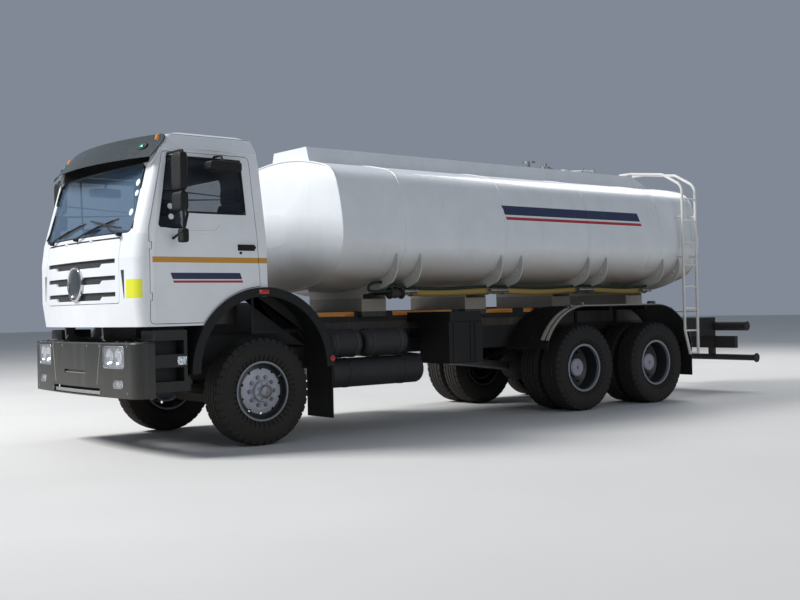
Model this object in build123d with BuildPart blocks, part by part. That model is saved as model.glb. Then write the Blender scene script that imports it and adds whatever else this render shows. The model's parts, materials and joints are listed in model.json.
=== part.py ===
from build123d import *
import os
from math import atan2, cos, degrees, radians, sin, tan

# Water tanker: a three-axle forward-control truck with a rounded box tank.
# X runs forward, Y to the left side, Z up, all in millimetres.
# The origin is on the ground, at the middle of the whole length and width.
# Names ending in _x and _z are places; steps are measured back or ahead from the front axle.

# Stations along the truck
overall_length = 10070
front_overhang = 1470
wheelbase = 4650
tandem_spacing = 1430
front_face_x = overall_length / 2
rear_face_x = -overall_length / 2
front_axle_x = front_face_x - front_overhang
rear_axle_1_x = front_axle_x - wheelbase
rear_axle_2_x = rear_axle_1_x - tandem_spacing
bogie_x = (rear_axle_1_x + rear_axle_2_x) / 2
rest_gap = 0.3
running_clearance = 0.05
panel_gap = 6

# Tyres and wheels
tyre_radius = 535
tyre_width = 300
tread_width = 256
shoulder_radius = 28
bead_radius = 282
rim_flange_radius = 298
rim_width = 236
rim_wall = 9
rim_taper = 6
front_track = 2000
rear_track = 1830
twin_spacing = 340
front_dish = 92
twin_disc_edge = 88
disc_wall = 12
disc_flat_radius = 176
wheel_bolt_circle_radius = 142
wheel_bolt_radius = 14
wheel_bolt_reach = 24
wheel_bolt_count = 10
vent_hole_radius = 15
wheel_vent_depth = 60
hub_radius = 104
hub_cap_radius = 62
hub_cap_depth = 40
hub_inboard = 110
front_hub_reach = 92
rear_hub_reach = 165
rear_cap_radius = 112
brake_drum_radius = 206
front_drum_width = 150
rear_drum_width = 235
spindle_radius = 42

# Chassis frame
frame_width = 860
rail_height = 280
rail_flange = 80
rail_wall = 9
frame_top_z = 1090
frame_front_setback = 330
crossmember_radius = 46
crossmember_steps = (-1950, -2950, -3950, -5365, -7000)
end_plate = 14
carrier_tube_back = 75
spray_radius = 44
nozzle_reach = 28
pivot_bracket_width = 24
frame_bottom_z = frame_top_z - rail_height
frame_front_x = front_face_x - frame_front_setback
frame_rear_x = rear_face_x + carrier_tube_back + spray_radius + nozzle_reach
rail_side_y = frame_width / 2

# Axles, springs and steering
kingpin_y = 845
kingpin_radius = 25
eye_radius = 48
eye_height = 120
beam_top_z = 470
beam_depth = 100
beam_width = 84
beam_drop_y = 560
spring_y = rail_side_y - 45
front_spring_half = 760
front_spring_sag = 150
leaf_tip_depth = 26
leaf_pack_depth = 66
leaf_width = 76
knuckle_gap = 6
ear_height = 28
knuckle_web = 26
steering_arm = 190
arm_eye_radius = 30
rod_stud_radius = 12
rod_radius = 17
rod_head_radius = 26
rod_head_height = 38
open_end_clearance = 1.5
diff_radius = 190
axle_tube_radius = 68
trunnion_z = 662
trunnion_radius = 52
trunnion_plate = 16
bogie_pack_depth = 96

# Engine, gearbox and shafts
engine_front = 960
engine_rear = -620
gearbox_rear = -1480
engine_width = 640
engine_floor_z = 640
engine_top_z = 1420
gearbox_top_z = 1040
engine_mount_length = 90
engine_mount_height = 110
shaft_radius = 52
shaft_bite = 24

# Cab form: level, then back, front, half width, bow of the front and corner size
cab_levels = (
    (1205, -15, 1400, 1220, 80, 150),
    (1450, -15, 1436, 1220, 80, 150),
    (1850, -10, 1436, 1220, 80, 150),
    (2060, -4, 1402, 1219, 78, 140),
    (2745, 35, 1190, 1165, 60, 72),
    (2900, 48, 1140, 1140, 55, 64),
    (3005, 70, 1050, 1080, 50, 62),
    (3055, 150, 860, 940, 40, 60),
)
cab_length = 1450
cab_half = 1220
cab_width = 2 * cab_half
cab_floor_z = cab_levels[0][0]
cab_roof_z = cab_levels[-1][0]
cab_back_x = front_axle_x + cab_levels[0][1]
cab_wall = 42
glass_inset = 14
glass_thickness = 6
tilt_pivot_x = front_axle_x + 1330
tilt_pivot_z = 1100
tilt_pin_radius = 20
tilt_lug_width = 30
tunnel_front = 1080
tunnel_width = 800
tunnel_top_z = 1500
rear_window_z = 2480
rear_window_half = 480
rear_window_height = 420

# Wheel openings and mudguards
arch_radius = 722
arch_trim_width = 88
arch_trim_reach = 28
arch_x = front_axle_x + 30
arch_centre_z = 750
housing_wall = 20
housing_inner_y = 600
liner_inner_y = 860
guard_wall = 12
guard_inner_y = 760
guard_bar_z = 950
guard_bar_radius = 18
front_flap_low_z = 215
rear_guard_radius = 765
rear_guard_low_angle = 20
rear_guard_inner_y = 560
rear_guard_outer_y = 1248
rear_flap_low_z = 330
rear_rib_ys = (700, 815, 930, 1045, 1150)
rear_rib_width = 26
rear_rib_wall = 10
guard_stay_step = 100
guard_stay_width = 50

# Doors, glass and front flap, in steps ahead of the front axle and levels
door_outline = ((52, 1232), (1235, 1232), (1235, 2100), (1060, 2832), (148, 2832))
window_outline = ((1150, 2118), (875, 2118), (830, 2268), (215, 2268), (245, 2790), (1020, 2790))
door_inner_y = 1000
door_corner = 40
door_thickness = 42
door_shelf_ahead = 650
door_shelf_depth = 300
window_corner = 30
screen_base_z = 2078
screen_top_z = 2738
screen_base_half = 1030
screen_top_half = 985
screen_corner = 70
flap_top_z = 2030
flap_bottom_z = 1430
flap_half = 870
flap_thickness = 26
slot_zs = (1848, 1690, 1535)
slot_half = 805
slot_step_half = 560
slot_end_height = 42
slot_height = 74
boss_radius = 120
boss_z = 1630
boss_reach = 14

# Hinges of the doors and the front flap
door_hinge_x = front_axle_x + 1226
door_hinge_y = 1208
door_hinge_zs = (1480, 1950)
door_eye_length = 60
door_eye_radius = 9
door_pin_radius = 4
door_tab_length = 20
flap_hinge_x = front_axle_x + 1398
flap_hinge_z = flap_top_z + 2
flap_hinge_ys = (-300, 300)
flap_eye_length = 30
flap_eye_radius = 7
flap_pin_radius = 3
flap_tab_length = 24
flap_top_gap = 16
knuckle_length = 14

# Sun visor, seats, dashboard and mirrors
visor_low_z = 2772
visor_low_front = 1400
visor_top_z = 3010
visor_top_front = 1190
visor_half = 1150
visor_bow = 210
visor_wall = 12
visor_end_round = 110
visor_stay_y = 700
visor_stay_width = 40
visor_stay_drop = 80
visor_stay_length = 260
seat_y = 700
seat_width = 500
seat_cushion_z = 1760
seat_back_z = 2450
dash_top_z = 2030
dash_half = 1120
steering_wheel_ahead = 860
steering_wheel_y = -650
steering_wheel_radius = 225
steering_column = 560
# Mirror heads: place ahead, across and up, then length, breadth and height, on arms through corner places
mirror_heads = (
    (1015, 1395, 2620, 80, 190, 340),
    (1015, 1395, 2345, 80, 190, 160),
    (980, 1380, 2035, 60, 110, 120),
    (520, 1330, 2700, 340, 150, 90),
)
mirror_arms = (
    ((1010, 1100, 2811), (1010, 1450, 2811), (1010, 1450, 2080), (1000, 1190, 2010)),
    ((520, 1100, 2811), (520, 1290, 2811), (520, 1330, 2730)),
)
mirror_corner = 24
mirror_arm_radius = 12
mirror_arm_bend = 60

# Bumper, lamps and steps
bumper_low_z = 550
bumper_top_z = 1062
bumper_half = 1240
bumper_depth = 255
bumper_bow = 60
bumper_corner = 130
bumper_wall = 50
bumper_edge = 18
bumper_slot_half = 560
bumper_slot_height = 70
bumper_bracket_y = 300
bumper_bracket_bite = 12
bumper_deck_y = 560
plate_half = 250
headlamp_y = 830
headlamp_z = 925
headlamp_width = 390
headlamp_height = 205
fog_lamp_y = 905
fog_lamp_z = 675
fog_lamp_width = 190
fog_lamp_height = 74
step_rear = 852
step_low_z = 600
step_top_z = 1170
step_inner_y = 950
step_outer_y = 1228
step_treads = (760, 1010)
step_opening = 300
step_opening_height = 130
step_recess = 150

# What hangs on the rails
side_tank_y = 960
air_tank_z = 968
air_tank_radius = 150
air_tank_dome = 60
air_tank_spans = ((-850, -1280), (-1320, -1905))
silencer_z = 655
silencer_radius = 155
silencer_front = -860
silencer_rear = -2110
battery_front = -2400
battery_rear = -2915
battery_inner_y = 690
battery_outer_y = 1200
battery_low_z = 690
battery_top_z = 1172
battery_rib_steps = (70, 330, 400)
fuel_tank_front = -860
fuel_tank_rear = -2150
fuel_tank_inner_y = 560
fuel_tank_outer_y = 1210
fuel_tank_low_z = 480
fuel_tank_top_z = 1080

# Tank, saddles and top fittings
tank_front_x = front_axle_x - 960
tank_rear_x = front_axle_x - 7060
tank_half_width = 1200
tank_top_z = 2990
tank_crown_half = 890
tank_crown_z = 2868
tank_shoulder_inset = 100
tank_shoulder_z = 2668
tank_widest_z = 2200
tank_corner_inset = 140
tank_corner_z = 1775
tank_belly_inset = 310
tank_belly_z = 1666
head_steps = ((0, 0.985), (45, 0.80), (80, 0.55), (105, 0.25))
coaming_top_z = 3145
coaming_half = 330
coaming_base_half = 430
coaming_front_x = front_axle_x - 1110
coaming_rear_x = front_axle_x - 6730
coaming_rear_slope = 280
manhole_back = 5930
manhole_radius = 250
manhole_neck = 30
manhole_lid_wall = 16
lid_arm_half = 30
lid_arm_rise = 24
lid_hinge_reach = 26
lid_pin_radius = 8
lid_ear_width = 10
lid_ear_half = 14
vent_back = 4980
branch_back = 5300
saddle_xs = [front_axle_x - step for step in (1870, 3450, 4990, 6490)]
saddle_width = 350
saddle_plate = 12
saddle_tip_y = 1172
saddle_tip_z = 1915
saddle_foot_y = 520
saddle_foot_z = 1492
saddle_box_height = 200
saddle_hole_radius = 15
saddle_hole_places = ((saddle_tip_y - 76, saddle_tip_z - 160), (saddle_tip_y - 110, saddle_tip_z - 211))
subframe_height = 150
subframe_width = 70
subframe_top_z = frame_top_z + subframe_height
pipe_y = 860
pipe_z = 1520
pipe_sag = 24
pipe_radius = 42

# Ladder, rear carrier and spray bar
ladder_front = -6620
ladder_width = 290
ladder_y = 1276
ladder_low_z = 620
ladder_shoulder_z = 2920
ladder_crown_y = 960
ladder_crown_z = 3100
ladder_foot_shift = 110
ladder_rungs = 8
rung_pitch = 300
rung_radius = 11
stringer_radius = 19
stringer_bend = 150
ladder_stay_zs = (1950, 2500)
ladder_foot_stay_z = 1200
carrier_post = 80
carrier_post_y = 390
carrier_low_z = 530
top_tube_z = 955
top_tube_radius = 70
top_tube_half = 990
underrun_z = 714
underrun_half = 795
underrun_height = 180
spray_half = 1144
flange_radius = 68
flange_wall = 14
flange_hole_radius = 6
flange_hole_circle = 55
spray_nozzle_ys = (380, 760, 1060)
nozzle_radius = 16


def ahead(distance):
    """Station this far ahead of the front axle, behind it where negative."""
    return front_axle_x + distance


# Tyres: a tread drum with rounded shoulders and bulged sidewalls
def make_tyres(x, centres):
    """Tyres of one wheel position, turned about the lateral line through the hub."""
    hub_plane = Plane(origin=(x, 0, tyre_radius), x_dir=(1, 0, 0), z_dir=(0, 0, 1))
    half = tyre_width / 2
    crown_half = tread_width / 2
    bead_half = rim_width / 2 - rim_wall - rim_taper - rest_gap
    bead_low = bead_radius + rest_gap
    bead_top = rim_flange_radius + 1
    bulge_radius = (rim_flange_radius + tyre_radius) / 2
    with BuildPart() as tyres:
        for centre in centres:
            with BuildSketch(hub_plane) as profile:
                with BuildLine():
                    tread = Line((tyre_radius, centre - crown_half), (tyre_radius, centre + crown_half))
                    upper = ThreePointArc(tread @ 1, (bulge_radius, centre + half),
                                          (bead_top, centre + bead_half))
                    bead = Polyline(upper @ 1, (bead_low, centre + bead_half),
                                    (bead_low, centre - bead_half), (bead_top, centre - bead_half))
                    ThreePointArc(bead @ 1, (bulge_radius, centre - half), tread @ 0)
                make_face()
                fillet(profile.vertices().sort_by(Axis.X)[-2:], shoulder_radius)
            revolve(axis=Axis((x, 0, tyre_radius), (0, 1, 0)))
    return tyres


# Wheels: pressed discs in flanged rims, on one hub with its cap, drum and blind spindle bore
def make_wheel(x, rims, hub_reach, cap_radius, drum_width):
    """One left wheel; rims lists each rim's middle, disc face and disc edge, outer rim first."""
    hub_plane = Plane(origin=(x, 0, tyre_radius), x_dir=(1, 0, 0), z_dir=(0, 0, 1))
    hub_line = Axis((x, 0, tyre_radius), (0, 1, 0))
    half = rim_width / 2
    barrel = bead_radius - rim_wall
    face_y = rims[0][1]
    web_y = rims[-1][1] - disc_wall
    cap_y = face_y + hub_reach
    hub_end_y = web_y - hub_inboard
    drum_end_y = web_y - drum_width
    with BuildPart() as wheel:
        for centre, disc_y, edge_y in rims:
            with BuildSketch(hub_plane):
                with BuildLine():
                    Polyline((barrel, centre - half), (rim_flange_radius, centre - half),
                             (rim_flange_radius, centre - half + rim_wall),
                             (bead_radius, centre - half + rim_wall + rim_taper),
                             (bead_radius, centre + half - rim_wall - rim_taper),
                             (rim_flange_radius, centre + half - rim_wall),
                             (rim_flange_radius, centre + half), (barrel, centre + half), close=True)
                make_face()
                with BuildLine():
                    Polyline((hub_radius - 20, disc_y), (disc_flat_radius, disc_y), (barrel + 3, edge_y),
                             (barrel + 3, edge_y - disc_wall), (disc_flat_radius - 4, disc_y - disc_wall),
                             (hub_radius - 20, disc_y - disc_wall), close=True)
                make_face()
            revolve(axis=hub_line)
        with BuildSketch(hub_plane):
            with BuildLine():
                Polyline((0, cap_y), (cap_radius - 14, cap_y), (cap_radius, cap_y - 12),
                         (cap_radius + 4, face_y + 52), (hub_radius - 8, face_y + 48),
                         (hub_radius, face_y + 36), (hub_radius, web_y), (brake_drum_radius, web_y),
                         (brake_drum_radius, drum_end_y), (brake_drum_radius - 16, drum_end_y),
                         (brake_drum_radius - 16, web_y - 14), (hub_radius - 18, web_y - 30),
                         (hub_radius - 26, hub_end_y), (0, hub_end_y), close=True)
            make_face()
        revolve(axis=hub_line)
        bore_length = cap_y - hub_cap_depth - hub_end_y
        with Locations(Location((x, hub_end_y + bore_length / 2, tyre_radius), (90, 0, 0))):
            Cylinder(spindle_radius + running_clearance, bore_length, mode=Mode.SUBTRACT)
        with BuildSketch(Plane(origin=(x, face_y, tyre_radius), x_dir=(1, 0, 0), z_dir=(0, 1, 0))):
            with PolarLocations(wheel_bolt_circle_radius, wheel_bolt_count):
                RegularPolygon(wheel_bolt_radius, 6)
        extrude(amount=wheel_bolt_reach)
        with BuildSketch(Plane(origin=(x, face_y, tyre_radius), x_dir=(1, 0, 0), z_dir=(0, 1, 0))):
            with PolarLocations((disc_flat_radius + barrel) / 2, wheel_bolt_count, start_angle=18):
                Circle(vent_hole_radius)
        extrude(amount=wheel_vent_depth, both=True, mode=Mode.SUBTRACT)
    return wheel


def make_right(left):
    """The right-hand piece, mirrored from the left-hand one across the truck's middle."""
    with BuildPart() as right:
        mirror(left.part, about=Plane.XZ)
    return right


front_wheel_y = front_track / 2
outer_twin_y = (rear_track + twin_spacing) / 2
inner_twin_y = (rear_track - twin_spacing) / 2
twin_face_y = rear_track / 2 + disc_wall
front_rims = [(front_wheel_y, front_wheel_y + front_dish, front_wheel_y + front_dish - 34)]
twin_rims = [(outer_twin_y, twin_face_y, outer_twin_y - twin_disc_edge),
             (inner_twin_y, rear_track / 2, inner_twin_y + twin_disc_edge + disc_wall)]

nodes = {}
tyre_front_left = make_tyres(front_axle_x, [front_wheel_y])
wheel_front_left = make_wheel(front_axle_x, front_rims, front_hub_reach, hub_cap_radius,
                              front_drum_width)
nodes["tyre_front_left"] = tyre_front_left
nodes["tyre_front_right"] = make_right(tyre_front_left)
nodes["wheel_front_left"] = wheel_front_left
nodes["wheel_front_right"] = make_right(wheel_front_left)
for number, axle_x in enumerate((rear_axle_1_x, rear_axle_2_x), start=1):
    twin_tyres = make_tyres(axle_x, [outer_twin_y, inner_twin_y])
    twin_wheels = make_wheel(axle_x, twin_rims, rear_hub_reach, rear_cap_radius, rear_drum_width)
    nodes[f"tyres_rear_{number}_left"] = twin_tyres
    nodes[f"tyres_rear_{number}_right"] = make_right(twin_tyres)
    nodes[f"wheels_rear_{number}_left"] = twin_wheels
    nodes[f"wheels_rear_{number}_right"] = make_right(twin_wheels)

# Frame: two channel rails joined by tubular crossmembers, an end plate and the cab pivot brackets
crossmember_z = frame_top_z - rail_wall - crossmember_radius - 20
pivot_bracket_y = rail_side_y - pivot_bracket_width / 2
with BuildPart() as frame_rails:
    for side in (1, -1):
        rail_middle_z = frame_top_z - rail_height / 2
        with BuildSketch(Plane.YZ.offset(frame_rear_x)):
            with Locations((side * (rail_side_y - rail_flange / 2), rail_middle_z)):
                Rectangle(rail_flange, rail_height)
            with Locations((side * (rail_side_y - rail_wall - rail_flange / 2), rail_middle_z)):
                Rectangle(rail_flange, rail_height - 2 * rail_wall, mode=Mode.SUBTRACT)
        extrude(amount=frame_front_x - frame_rear_x)
        with BuildSketch(Plane.XZ.offset(-side * pivot_bracket_y)):
            with BuildLine():
                Polyline((frame_front_x - 160, frame_top_z - rail_wall),
                         (frame_front_x, frame_top_z - rail_wall),
                         (tilt_pivot_x - 30, tilt_pivot_z + 30), (tilt_pivot_x + 24, tilt_pivot_z + 30),
                         (tilt_pivot_x + 38, tilt_pivot_z), (tilt_pivot_x + 10, tilt_pivot_z - 40),
                         (frame_front_x, frame_bottom_z + rail_wall),
                         (frame_front_x - 160, frame_bottom_z + rail_wall), close=True)
            make_face()
            with Locations((tilt_pivot_x, tilt_pivot_z)):
                Circle(tilt_pin_radius + running_clearance, mode=Mode.SUBTRACT)
        extrude(amount=pivot_bracket_width / 2, both=True)
    for step in crossmember_steps:
        with Locations(Location((ahead(step), 0, crossmember_z), (90, 0, 0))):
            Cylinder(crossmember_radius, frame_width - rail_wall)
    for end_x, plate in ((frame_rear_x, -end_plate), (frame_front_x, -end_plate)):
        with BuildSketch(Plane.YZ.offset(end_x)):
            with Locations((0, frame_top_z - rail_height / 2)):
                Rectangle(frame_width - 2 * pivot_bracket_width, rail_height)
        extrude(amount=end_plate if end_x < 0 else -end_plate)
nodes["frame_rails"] = frame_rails

# Front axle: a forged beam dropped between the springs, with an eye for each kingpin
with BuildPart() as front_axle_beam:
    with BuildSketch(Plane.YZ.offset(front_axle_x - beam_width / 2)):
        with BuildLine():
            Polyline((-kingpin_y, tyre_radius + 50), (90 - kingpin_y, tyre_radius + 40),
                     (-beam_drop_y, beam_top_z), (beam_drop_y, beam_top_z),
                     (kingpin_y - 90, tyre_radius + 40), (kingpin_y, tyre_radius + 50),
                     (kingpin_y, tyre_radius - 50), (kingpin_y - 110, tyre_radius - 50),
                     (beam_drop_y + 40, beam_top_z - beam_depth),
                     (-beam_drop_y - 40, beam_top_z - beam_depth),
                     (110 - kingpin_y, tyre_radius - 50), (-kingpin_y, tyre_radius - 50), close=True)
        make_face()
    extrude(amount=beam_width)
    with Locations((front_axle_x, kingpin_y, tyre_radius), (front_axle_x, -kingpin_y, tyre_radius)):
        Cylinder(eye_radius, eye_height)
        Cylinder(kingpin_radius + running_clearance, eye_height, mode=Mode.SUBTRACT)
nodes["front_axle_beam"] = front_axle_beam

# Front springs: arched leaf packs under the rails, in a hanger at each end
spring_end_z = beam_top_z + front_spring_sag
with BuildPart() as front_springs:
    for y in (spring_y, -spring_y):
        with BuildSketch(Plane.XZ.offset(-y)):
            with BuildLine():
                low = ThreePointArc((ahead(-front_spring_half), spring_end_z), (ahead(0), beam_top_z),
                                    (ahead(front_spring_half), spring_end_z))
                tip = Line(low @ 1, (ahead(front_spring_half), spring_end_z + leaf_tip_depth))
                high = ThreePointArc(tip @ 1, (ahead(0), beam_top_z + leaf_pack_depth),
                                     (ahead(-front_spring_half), spring_end_z + leaf_tip_depth))
                Line(high @ 1, low @ 0)
            make_face()
            for step in (front_spring_half, -front_spring_half):
                with BuildLine():
                    Polyline((ahead(step) - 85, frame_bottom_z), (ahead(step) + 85, frame_bottom_z),
                             (ahead(step) + 34, spring_end_z - 30), (ahead(step) - 34, spring_end_z - 30),
                             close=True)
                make_face()
        extrude(amount=leaf_width / 2, both=True)
nodes["front_springs"] = front_springs

# Steering knuckles: two ears on the kingpin, the spindle, and an arm back to the tie rod
ear_z = eye_height / 2 + knuckle_gap
arm_z = tyre_radius - ear_z - ear_height
knuckle_web_y = kingpin_y + eye_radius + knuckle_gap
spindle_end_y = front_rims[0][1] + front_hub_reach - hub_cap_depth - 15
with BuildPart() as knuckle_left:
    for low_z in (tyre_radius + ear_z, arm_z):
        with BuildSketch(Plane.XY.offset(low_z)):
            with Locations((front_axle_x, kingpin_y)):
                Circle(eye_radius)
            with Locations((front_axle_x, (kingpin_y + knuckle_web_y + knuckle_web) / 2)):
                Rectangle(2 * eye_radius, knuckle_web_y + knuckle_web - kingpin_y)
        extrude(amount=ear_height)
    with BuildSketch(Plane.XY.offset(arm_z)):
        with Locations((front_axle_x - steering_arm / 2, kingpin_y)):
            SlotCenterToCenter(steering_arm, 2 * arm_eye_radius)
        with Locations((front_axle_x - steering_arm, kingpin_y)):
            Circle(rod_stud_radius + running_clearance, mode=Mode.SUBTRACT)
    extrude(amount=ear_height)
    with BuildSketch(Plane.XZ.offset(-knuckle_web_y)):
        with Locations((front_axle_x, tyre_radius)):
            Rectangle(2 * eye_radius, 2 * (ear_z + ear_height))
    extrude(amount=-knuckle_web)
    with Locations((front_axle_x, kingpin_y, tyre_radius)):
        Cylinder(kingpin_radius, 2 * (ear_z + ear_height))
    spindle_length = spindle_end_y - knuckle_web_y
    with Locations(Location((front_axle_x, knuckle_web_y + spindle_length / 2, tyre_radius), (90, 0, 0))):
        Cylinder(spindle_radius, spindle_length)
nodes["knuckle_left"] = knuckle_left
with BuildPart() as knuckle_right:
    mirror(knuckle_left.part, about=Plane.XZ)
    with Locations((front_axle_x - steering_arm, -kingpin_y, arm_z + ear_height / 2)):
        Cylinder(rod_stud_radius + open_end_clearance, ear_height, mode=Mode.SUBTRACT)
nodes["knuckle_right"] = knuckle_right

# Tie rod: under the two steering arms, with a stud up into each
rod_z = arm_z - knuckle_gap - rod_head_height / 2
with BuildPart() as tie_rod:
    with Locations(Location((front_axle_x - steering_arm, 0, rod_z), (90, 0, 0))):
        Cylinder(rod_radius, 2 * kingpin_y)
    with Locations((front_axle_x - steering_arm, kingpin_y, rod_z),
                   (front_axle_x - steering_arm, -kingpin_y, rod_z)):
        Cylinder(rod_head_radius, rod_head_height)
    stud_height = knuckle_gap + ear_height
    with Locations((front_axle_x - steering_arm, kingpin_y, arm_z - knuckle_gap + stud_height / 2),
                   (front_axle_x - steering_arm, -kingpin_y, arm_z - knuckle_gap + stud_height / 2)):
        Cylinder(rod_stud_radius, stud_height)
nodes["tie_rod"] = tie_rod

# Rear axles: tubes swelling into the differential, with a spindle at each end
rear_spindle_y = twin_face_y + rear_hub_reach - hub_cap_depth - 15
housing_end_y = rear_track / 2 - disc_wall - hub_inboard - 12
with BuildPart() as rear_axles:
    for axle_x in (rear_axle_1_x, rear_axle_2_x):
        with BuildSketch(Plane(origin=(axle_x, 0, tyre_radius), x_dir=(0, 1, 0), z_dir=(0, 0, 1))):
            with BuildLine():
                half = Spline((0, diff_radius), (diff_radius * 0.75, diff_radius * 0.8),
                              (diff_radius * 1.7, axle_tube_radius), tangents=((1, 0), (1, 0)))
                outline = Polyline(half @ 1, (housing_end_y, axle_tube_radius),
                                   (housing_end_y, spindle_radius), (rear_spindle_y, spindle_radius),
                                   (rear_spindle_y, 0), (0, 0), (0, diff_radius))
            make_face()
            mirror(about=Plane.YZ)
        revolve(axis=Axis((axle_x, 0, tyre_radius), (0, 1, 0)))
nodes["rear_axles"] = rear_axles

# Rear springs: one inverted leaf pack a side over both axles, on a trunnion under the frame
rear_spring_y = rail_side_y + trunnion_plate + 4 + leaf_width / 2
leaf_seat_z = tyre_radius + axle_tube_radius + rest_gap
with BuildPart() as rear_springs:
    with Locations(Location((bogie_x, 0, trunnion_z), (90, 0, 0))):
        Cylinder(trunnion_radius, 2 * (rear_spring_y + leaf_width / 2))
    for side in (1, -1):
        with BuildSketch(Plane.XZ.offset(-side * rear_spring_y)):
            with BuildLine():
                reach = tandem_spacing / 2 + 60
                low = ThreePointArc((bogie_x - reach, leaf_seat_z),
                                    (bogie_x, trunnion_z + trunnion_radius - 8),
                                    (bogie_x + reach, leaf_seat_z))
                tip = Line(low @ 1, (bogie_x + reach, leaf_seat_z + leaf_tip_depth))
                high = ThreePointArc(tip @ 1, (bogie_x, trunnion_z + trunnion_radius + bogie_pack_depth),
                                     (bogie_x - reach, leaf_seat_z + leaf_tip_depth))
                Line(high @ 1, low @ 0)
            make_face()
        extrude(amount=leaf_width / 2, both=True)
        with BuildSketch(Plane.XZ.offset(-side * (rail_side_y + trunnion_plate / 2))):
            with BuildLine():
                Polyline((bogie_x - 260, frame_top_z - 40), (bogie_x + 260, frame_top_z - 40),
                         (bogie_x + 230, frame_bottom_z), (bogie_x + 90, trunnion_z - 70),
                         (bogie_x - 90, trunnion_z - 70), (bogie_x - 230, frame_bottom_z), close=True)
            make_face()
        extrude(amount=trunnion_plate / 2, both=True)
nodes["rear_springs"] = rear_springs

# Engine and gearbox as one plain stepped block between the rails
with BuildPart() as engine_block:
    with BuildSketch(Plane.XZ):
        with BuildLine():
            Polyline((ahead(engine_front), engine_floor_z), (ahead(engine_front), engine_top_z - 120),
                     (ahead(engine_front) - 120, engine_top_z), (ahead(engine_rear), engine_top_z),
                     (ahead(engine_rear), gearbox_top_z), (ahead(gearbox_rear), gearbox_top_z - 60),
                     (ahead(gearbox_rear), engine_floor_z + 90), (ahead(engine_rear), engine_floor_z),
                     close=True)
        make_face()
    extrude(amount=engine_width / 2, both=True)
    for step in (engine_front - 150, engine_rear + 150):
        with Locations((ahead(step), 0, frame_bottom_z + rail_height / 2)):
            Box(engine_mount_length, frame_width - 2 * rail_wall, engine_mount_height)
nodes["engine_block"] = engine_block

# Propeller shafts: gearbox to the first rear axle, and on to the second
with BuildPart() as drive_shafts:
    front_joint = Vector(ahead(gearbox_rear) + shaft_bite, 0, gearbox_top_z - 150)
    diff_front = Vector(rear_axle_1_x + diff_radius - shaft_bite, 0, tyre_radius)
    diff_back = Vector(rear_axle_1_x - diff_radius + shaft_bite, 0, tyre_radius)
    second_front = Vector(rear_axle_2_x + diff_radius - shaft_bite, 0, tyre_radius)
    for start, end in ((front_joint, diff_front), (diff_back, second_front)):
        run = end - start
        with BuildSketch(Plane(origin=start, z_dir=run)):
            Circle(shaft_radius)
        extrude(amount=run.length)
    add(engine_block.part, mode=Mode.SUBTRACT)
    add(rear_axles.part, mode=Mode.SUBTRACT)
nodes["drive_shafts"] = drive_shafts

# Cab and bumper outlines bow forward in plan and turn through rounded corners
def draw_nose(back_x, front_x, half_width, bow, corner):
    """Closed plan outline: bowed front, rounded corners, straight sides and back."""
    chord = half_width - corner
    bow_radius = (chord ** 2 + bow ** 2) / (2 * bow)
    turn = degrees(atan2(chord, bow_radius - bow))
    corner_run = corner * tan(radians((turn + 90) / 2))
    side_x = front_x - bow - corner_run
    with BuildSketch() as outline:
        with BuildLine():
            front = ThreePointArc((front_x - bow, -chord), (front_x, 0), (front_x - bow, chord))
            left = ThreePointArc(front @ 1, (side_x + corner_run * 0.70, half_width - corner * 0.26),
                                 (side_x, half_width))
            side = Polyline(left @ 1, (back_x, half_width), (back_x, -half_width), (side_x, -half_width))
            ThreePointArc(side @ 1, (side_x + corner_run * 0.70, corner * 0.26 - half_width), front @ 0)
        make_face()
    return outline.sketch


def make_cab_block(inset):
    """The cab's whole outer form as a few level sections, drawn in by inset on every side."""
    with BuildPart() as block:
        last = len(cab_levels) - 1
        for index, (level, back, front, half_width, bow, corner) in enumerate(cab_levels):
            z = level + inset if index == 0 else level - inset if index == last else level
            with BuildSketch(Plane.XY.offset(z)):
                add(draw_nose(ahead(back) + inset, ahead(front) - inset, half_width - inset, bow, corner))
        loft(ruled=True)
    return block.part


def make_side_prism(points, inner_y, radius, spread=0):
    """A prism across the left side, from an outline in the side view with rounded corners."""
    with BuildPart() as prism:
        with BuildSketch(Plane.XZ.offset(-inner_y)) as outline:
            with BuildLine():
                Polyline(*points, close=True)
            make_face()
            fillet(outline.vertices(), radius)
            if spread:
                offset(amount=spread)
        extrude(amount=-cab_width)
    return prism.part


# Hinges: an eye on the fixed side, the room it needs in the moving piece, and the moving piece's pin
def make_hinge(place, length, radius, pin_radius, tab_length):
    """Eye, clearance and pin of one hinge; the place's X points to the fixed side, its Z along the pin."""
    room = length + 2 * panel_gap
    with BuildPart() as eye:
        with Locations(place):
            Cylinder(radius, length)
            with Locations((tab_length / 2, 0, 0)):
                Box(tab_length, 2 * radius - 4, length)
            Cylinder(pin_radius + running_clearance, length, mode=Mode.SUBTRACT)
    with BuildPart() as clear:
        with Locations(place):
            Cylinder(radius + panel_gap, room)
            with Locations((tab_length / 2, 0, 0)):
                Box(tab_length, 2 * (radius + panel_gap), room)
    with BuildPart() as pin:
        with Locations(place):
            Cylinder(pin_radius, room + 2)
            with Locations((0, 0, (room + knuckle_length) / 2), (0, 0, -(room + knuckle_length) / 2)):
                Cylinder(radius, knuckle_length)
    return eye.part, clear.part, pin.part


door_hinges = [make_hinge(Location((door_hinge_x, door_hinge_y, z)), door_eye_length, door_eye_radius,
                          door_pin_radius, door_tab_length) for z in door_hinge_zs]
flap_hinge_planes = [Plane(origin=(flap_hinge_x, y, flap_hinge_z), x_dir=(0, 0, 1), z_dir=(0, 1, 0))
                     for y in flap_hinge_ys]
flap_hinges = [make_hinge(plane.location, flap_eye_length, flap_eye_radius, flap_pin_radius,
                          flap_tab_length) for plane in flap_hinge_planes]


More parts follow.
